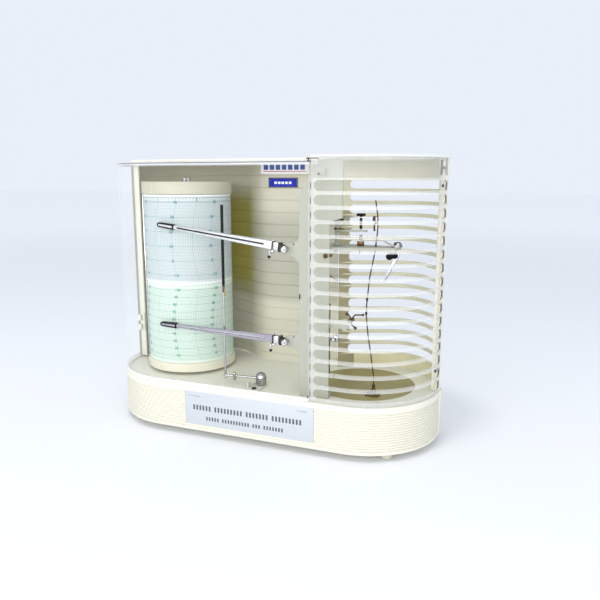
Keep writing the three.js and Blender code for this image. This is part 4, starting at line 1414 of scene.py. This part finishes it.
def build_shelf():
    y = MECH_Y
    lo, hi = ends("sensor_shelf")
    under = hi.z - 2.2
    outline = [(lo.x, lo.y), (112, lo.y + 6)] + arc(130.5, y + 2, 9, -70, 70, 14)
    outline += [(112, y + 12), (lo.x, y + 16)]
    shelf = Shape()
    shelf.prism(outline, under, hi.z)
    shelf.box(lo.x, lo.x + 16, lo.y, lo.y + 2, under - 9, under + 1)
    shelf.box(130.6, 136.7, y - 7, y - 2, under - 3.2, under + 0.5)
    shelf.bevel(0.35)
    shelf.piece("sensor_shelf_moulding", "case", "frame_plastic", [FRAME_CREAM], ["sensor_shelf"])

    face = low("pen_plate").y
    screws = Shape()
    for x, drop, r in ((76.6, 5.4, 2.1), (81.6, 4.6, 1.5)):
        screws.bar((x, face - 1.4, under - drop), (x, face + 0.3, under - drop), r)
        screws.ball((x, face - 1.2, under - drop), 0.7 * r)
    screws.disc(2, 83, y - 16, under - 1.6, under + 0.3, 24)
    screws.ball((83, y - 16, under - 2), 1.5)
    for x in (98.5, 102):
        screws.disc(0.9, x, y - 4, under - 1.2, under + 0.3, 16)
    screws.disc(0.6, 102, y - 4, under - 4.6, under - 1.1, 16)
    screws.piece("shelf_bronze_screws", "case", "brass_parts", [AGED])

    clamp = Shape()
    clamp.bar((131.2, y - 8.4, under - 5.6), (131.2, y - 2.2, under - 5.6), 3.2)
    clamp.bar((136.2, y - 8, under - 5), (136.2, y - 2.2, under - 5), 2.6)
    clamp.box(130.4, 137, y - 7, y - 2.4, under - 6.6, under - 3.3)
    clamp.bevel(0.4)
    clamp.piece("strip_clamp_screws", "case", "dark_metal", [BLACK])


def build_hair_lever():
    y = MECH_Y
    px = 79
    z0 = low("clamp_post").z
    arm_z = 208.4
    post = Shape()
    post.disc(2.4, px, y, z0, high("clamp_post").z, 28)
    post.disc(4, px, y, z0, z0 + 1.5, 32)
    post.prism([(px - 1, y - 3.2)] + arc(105, y, 3.2, -90, 90, 10) + [(px - 1, y + 3.2)],
               arm_z, arm_z + 1.6)
    post.bevel(0.25)
    post.piece("clamp_post_moulding", "case", "frame_plastic", [FRAME_CREAM], ["clamp_post"])

    collar = Shape()
    collar.lathe([(2.5, arm_z + 1.6), (3.7, arm_z + 1.6), (3.7, arm_z + 3),
                  (2.5, arm_z + 3)], px, y, 32)
    collar.disc(1.1, px + 6, y - 1.4, arm_z + 1.5, arm_z + 2.6, 20)
    collar.piece("clamp_post_collar", "case", "dark_metal", [AGED])

    lever = Shape()
    z0, z1 = heights("hair_lever")
    disc = [(5.4, 0), (6, 0.6), (6, 1.6), (5.2, 2.2), (5.2, 3.4)]
    lever.turned(px, y, z0, disc, 64, knurled(32, 5.9, 0.2))
    lever.index = 1
    tip = high("hair_lever").x + 2
    lever.prism([(px - 5, y - 2.2), (tip, y - 1.4), (tip, y + 1.4), (px - 5, y + 2.2)],
                z0 + 3.5, z0 + 4.5)
    lever.turned(px, y, 0, [(3.2, z0 + 4.4), (3.2, z0 + 5.2), (2.2, z1)], 32)
    lever.piece("hair_lever_arm", "case", "dark_metal", [DARK_METAL, GREY_METAL], ["hair_lever"])

    screw = Shape()
    c = middle("lever_screw")
    z0, z1 = heights("lever_screw")
    screw.disc(1.25, c.x, c.y, z0, z1 - 0.4, 20)
    rim = [(3.8, -2.5), (4.2, -2.1), (4.2, -0.7), (3.8, -0.3)]
    screw.turned(c.x, c.y, z1, rim, 48, knurled(24, 4.1, 0.15))
    screw.piece("lever_adjusting_screw", "adjuster", "black_plastic", [BLACK], ["lever_screw"], 25)


def build_screw_block():
    y = MECH_Y
    z0 = low("screw_block").z
    block = Shape()
    block.box(99, 104.6, y - 2.8, y + 2.8, z0, z0 + 5.2)
    block.bevel(0.5)
    block.disc(1.3, 101.8, y, z0 + 5, z0 + 10, 20)
    for k in range(4):
        block.disc(1.6, 101.8, y, z0 + 5.6 + k, z0 + 6 + k, 20)
    block.index = 1
    strip_z = z0 + 5
    path = [(98, strip_z), (125.4, strip_z), (132.6, z0 + 1.4), (139.6, z0 + 1.4)]
    thick = 0.8
    for k, ((ax, az), (bx, bz)) in enumerate(zip(path, path[1:])):
        block.index = 1
        block.wall([(ax, az - thick / 2), (bx, bz - thick / 2), (bx, bz + thick / 2), (ax, az + thick / 2)],
                   y - 4.6, y - 1.4)
        if k == 1:
            block.index = 0
            block.wall([(ax - 1, az), (bx - 1, bz), (bx, bz), (ax, az)], y - 4.9, y - 4.5)
    block.index = 1
    block.turned(136, y, z0, [(5, 0), (5, 1.4), (4.4, 2)], 36)
    block.lathe([(0, z0 + 2), (3.6, z0 + 2), (3.2, z0 + 3.6), (1.8, z0 + 4.6),
                 (0, z0 + 4.8)], 137, y, 28)
    block.index = 0
    block.ball((135.2, y - 3.2, z0 + 3.4), 1.3)
    block.piece("screw_block_and_strip", "case", "polished_metal", [AGED, GREY_METAL], ["screw_block"])


def build_hair():
    y = MECH_Y
    clips = Shape()
    lo, hi = ends("hair_clips")
    clips.box(lo.x, hi.x, lo.y, hi.y, hi.z - 4.4, hi.z)
    clips.box(lo.x + 0.9, hi.x, lo.y, hi.y, lo.z, lo.z + 7)
    clips.box(hi.x - 0.9, hi.x, lo.y + 0.6, hi.y - 0.6, lo.z, hi.z)
    clips.bevel(0.25)
    clips.index = 1
    clips.box(hi.x, hi.x + 1.4, lo.y, hi.y, hi.z - 5, hi.z - 0.4)
    clips.box(hi.x, hi.x + 1.4, lo.y, hi.y, lo.z + 0.4, lo.z + 6.4)
    clips.piece("hair_clip_blocks", "case", "dark_metal", [DARK_METAL, GREY_METAL], ["hair_clips"])

    route = [(115.2, 237.5), (117.3, 224), (117.5, 209), (115.5, 190), (111, 166), (108.6, 140),
             (108.4, 129.6), (110.5, 110.6), (113.8, 91), (116.8, 70), (117.2, 62)]
    strand = Shape()
    for dx, dy in ((0, 0), (0.38, 0.3), (-0.34, 0.32), (0.1, -0.38), (0.0, 0.66)):
        points = [p for a, b in zip(route, route[1:]) for p in straight(a, b, 4)[:-1]] + route[-1:]
        strand.wire([(x + dx, y + dy, z) for x, z in points], 0.3, 6)
    strand.piece("hair_bundle", "case", "hair", [HAIR], ["hair_element"], 60)

    ties = Shape()
    for x, z in ((109.0, 145), (108.5, 131.5), (116.2, 195.5)):
        ties.bar((x, y, z - 1.2), (x, y, z + 1.2), 1.1, 16)
    ties.piece("hair_ties", "case", "dark_metal", [DARK_METAL])

    foot = Shape()
    lo, hi = ends("hair_foot")
    foot.box(lo.x, hi.x, lo.y, hi.y, lo.z, lo.z + 1.7)
    foot.bevel(0.3)
    foot.turned(117.2, y, 0, [(2.6, lo.z), (2.6, hi.z - 5), (1.6, hi.z - 4), (1.6, hi.z)], 28)
    foot.index = 1
    foot.disc(1.6, lo.x + 2.4, y, lo.z + 1.5, lo.z + 3, 20)
    foot.piece("hair_foot_clamp", "case", "polished_metal", [AGED, BLACK], ["hair_foot"])


def build_hook():
    y = MECH_Y
    hx, hz = 94.4, 124
    lo, hi = ends("hook_bracket")
    bracket = Shape()
    flat = Matrix(((1, 0, 0, 0), (0, 0, 1, lo.y), (0, 1, 0, 0), (0, 0, 0, 1)))
    bracket.prism([(lo.x, hz - 4), (hx - 3, hz - 4), (hx, hz - 6), (hi.x, hz - 3),
                   (hi.x, hz + 3), (hx, hz + 6), (hx - 3, hz + 4), (lo.x, hz + 4)],
                  0, 1.6, flat)
    bracket.bevel(0.3)
    bracket.bar((hx, lo.y + 0.5, hz), (hx, y - 3, hz), 1.4)
    bracket.piece("hook_bracket_plate", "case", "polished_metal", [FRAME_CREAM], ["hook_bracket"])

    arm = Shape()
    arm.bar((hx, y - 7, hz), (hx, y + 2, hz), 2.2, 28)
    arm.bar((hx, y + 2, hz), (hx, y + 3, hz), 1.4, 20)
    arm.wire([(hx, y, hz + 1), (hx + 3, y, hz + 5), (105.6, y, 129.7)], 0.75)
    arm.wire([(hx, y - 4, hz), (95.6, y - 4, 120), (99.5, y - 4, 117.2)], 0.75)
    arm.wire([(hx, y - 1, hz), (92, y - 1, 128.4), (89.6, y - 1, 130)], 0.75)
    arm.ball((99.5, y - 5, 117.4), 1.5)
    arm.ball((90, y - 2, 129.8), 1.5)
    arm.ball((105.4, y, 129.7), 1.3)
    arm.piece("hook_lever_arms", "hook", "polished_metal", [AGED], ["hook_lever"])

    lo, hi = ends("counterweight")
    c = middle("counterweight")
    weight = Shape()
    weight.bar((c.x, lo.y, c.z), (c.x, hi.y, c.z), 3.2, 32)
    weight.bevel(0.4)
    weight.index = 1
    weight.bar((c.x, lo.y - 0.5, c.z), (c.x, lo.y + 0.4, c.z), 1.3, 20)
    weight.piece("counterweight_turned", "humid_swing", "polished_metal", [GREY_METAL, AGED],
                 ["counterweight"])


def build_bimetal():
    lo, hi = ends("bimetal_strip")
    top = hi.z
    outer = [(137.9, top), (140.1, top), (139.6, top - 4), (128.6, 166.4), (126.6, 163.4),
             (123.6, 162.6), (84, 160.2), (64, 170)]
    inner = [(64.4, 171), (84.3, 161.4), (122.6, 163.9), (125.0, 164.9), (127.2, 168.2)]
    strip = Shape()
    strip.wall(outer + inner, lo.y + 0.8, hi.y - 0.8)
    strip.bevel(0.15)
    strip.piece("bimetal_strip_bent", "case", "brass_parts", [STRIP_METAL], ["bimetal_strip"])

    rod = Shape()
    lo, hi = ends("guard_rod")
    x, y = middle("guard_rod").x, hi.y - 0.9
    rod.bar((x, y, lo.z), (x, y, hi.z), 0.8)
    rod.ball((x, y, hi.z - 0.9), 1.1)
    for z in (lo.z + 2, hi.z - 2):
        rod.box(lo.x, hi.x, lo.y, hi.y - 0.6, z - 1, z + 1)
    rod.piece("guard_rod_dark", "case", "dark_metal", [DARK_METAL], ["guard_rod"])

    tab = Shape()
    tab.bar((83.7, lo.y, 73.5), (83.7, lo.y + 1.6, 73.5), 1.5)
    tab.bar((83.7, lo.y - 0.6, 73.5), (83.7, lo.y, 73.5), 0.9)
    tab.piece("guard_rod_screw", "case", "dark_metal", [AGED])


# ------------------------------------------------------------------ camera, light and floor


CAMERA_PLACE = (0.2661, -0.5970, 0.2564)
CAMERA_DOWN = 10.87
CAMERA_TURN = 21.73
CAMERA_LENS = 37.764
CAMERA_SENSOR = 36
SKY_COLOUR = (0.86, 0.915, 1.0)
SKY_STRENGTH = 0.95
FLOOR_HALF = 12
FLOOR_NEAR = (0.82, 0.83, 0.845)
FLOOR_FAR = (0.97, 0.97, 0.975)
FLOOR_FADE = (0.7, 3.5)

# Name, place, target, width, height, power and colour of each light. The stage is in metres.
LIGHTS = (
    ("key", (-0.45, -1.65, 0.55), (0, 0, 0.14), 0.9, 0.7, 6.5, (1, 0.98, 0.93)),
    ("front", (0.1, -1.8, 0.3), (0, 0, 0.17), 1.2, 0.5, 5, (1, 0.98, 0.94)),
    ("overhead", (0.0, -0.345, 1.5), (0, 0, 0.1), 0.2, 0.2, 4, (1, 0.98, 0.95)),
    ("fill", (0.8, -1.4, 0.6), (0, 0, 0.15), 1.0, 1.0, 8, (1, 0.98, 0.95)),
)


def build_camera():
    data = bpy.data.cameras.new("camera")
    data.sensor_width = CAMERA_SENSOR
    data.lens = CAMERA_LENS
    camera = bpy.data.objects.new("camera", data)
    camera.location = CAMERA_PLACE
    camera.rotation_euler = (math.radians(90 - CAMERA_DOWN), 0, math.radians(CAMERA_TURN))
    bpy.context.collection.objects.link(camera)
    bpy.context.scene.camera = camera


def build_sky():
    world = bpy.data.worlds.new("studio")
    world.use_nodes = True
    background = world.node_tree.nodes["Background"]
    background.inputs["Color"].default_value = (*SKY_COLOUR, 1)
    background.inputs["Strength"].default_value = SKY_STRENGTH
    bpy.context.scene.world = world
    bpy.context.scene.view_settings.view_transform = "Standard"


def build_floor():
    """A floor that fades to the sky's brightness, so no horizon shows."""
    look = Look("floor_paper")
    reach = look.node("VectorMath", [(0, look.place())], operation="LENGTH").outputs["Value"]
    look.set("Base Color", look.mix(look.ramp(reach, *FLOOR_FADE), FLOOR_NEAR, FLOOR_FAR))
    look.set("Roughness", 0.8)
    mesh = bpy.data.meshes.new("floor")
    half = FLOOR_HALF
    corners = [(-half, -half, 0), (half, -half, 0), (half, half, 0), (-half, half, 0)]
    mesh.from_pydata(corners, [], [(0, 1, 2, 3)])
    mesh.materials.append(look.material)
    floor = bpy.data.objects.new("floor", mesh)
    bpy.context.collection.objects.link(floor)


def build_lights():
    for name, place, target, width, height, power, colour in LIGHTS:
        light = bpy.data.lights.new(name, "AREA")
        light.shape = "RECTANGLE"
        light.size = width
        light.size_y = height
        light.energy = power
        light.color = colour
        lamp = bpy.data.objects.new(name, light)
        lamp.location = place
        lamp.rotation_euler = (Vector(target) - Vector(place)).to_track_quat("-Z", "Y").to_euler()
        bpy.context.collection.objects.link(lamp)


build_camera()
build_sky()
build_floor()
build_lights()
build_base()
build_label()
build_rear_housing()
build_louvres()
build_door()
build_chart()
build_chart_numbers()
build_drum()
surface_cad_nodes()
build_pen_plate()
# The temperature pen's groove takes blackened metal, painted shade in the groove.
build_pen("temp", TEMP_PIVOT, TEMP_SLOPE, ARM_METAL, DARK_METAL)
# The humidity pen's arm takes the darker copy of the arm metal, painted shade.
build_pen("humid", HUMID_PIVOT, HUMID_SLOPE, ARM_METAL_PAINTED_SHADE, STEEL)
build_lifter()
build_shelf()
build_hair_lever()
build_screw_block()
build_hair()
build_hook()
build_bimetal()
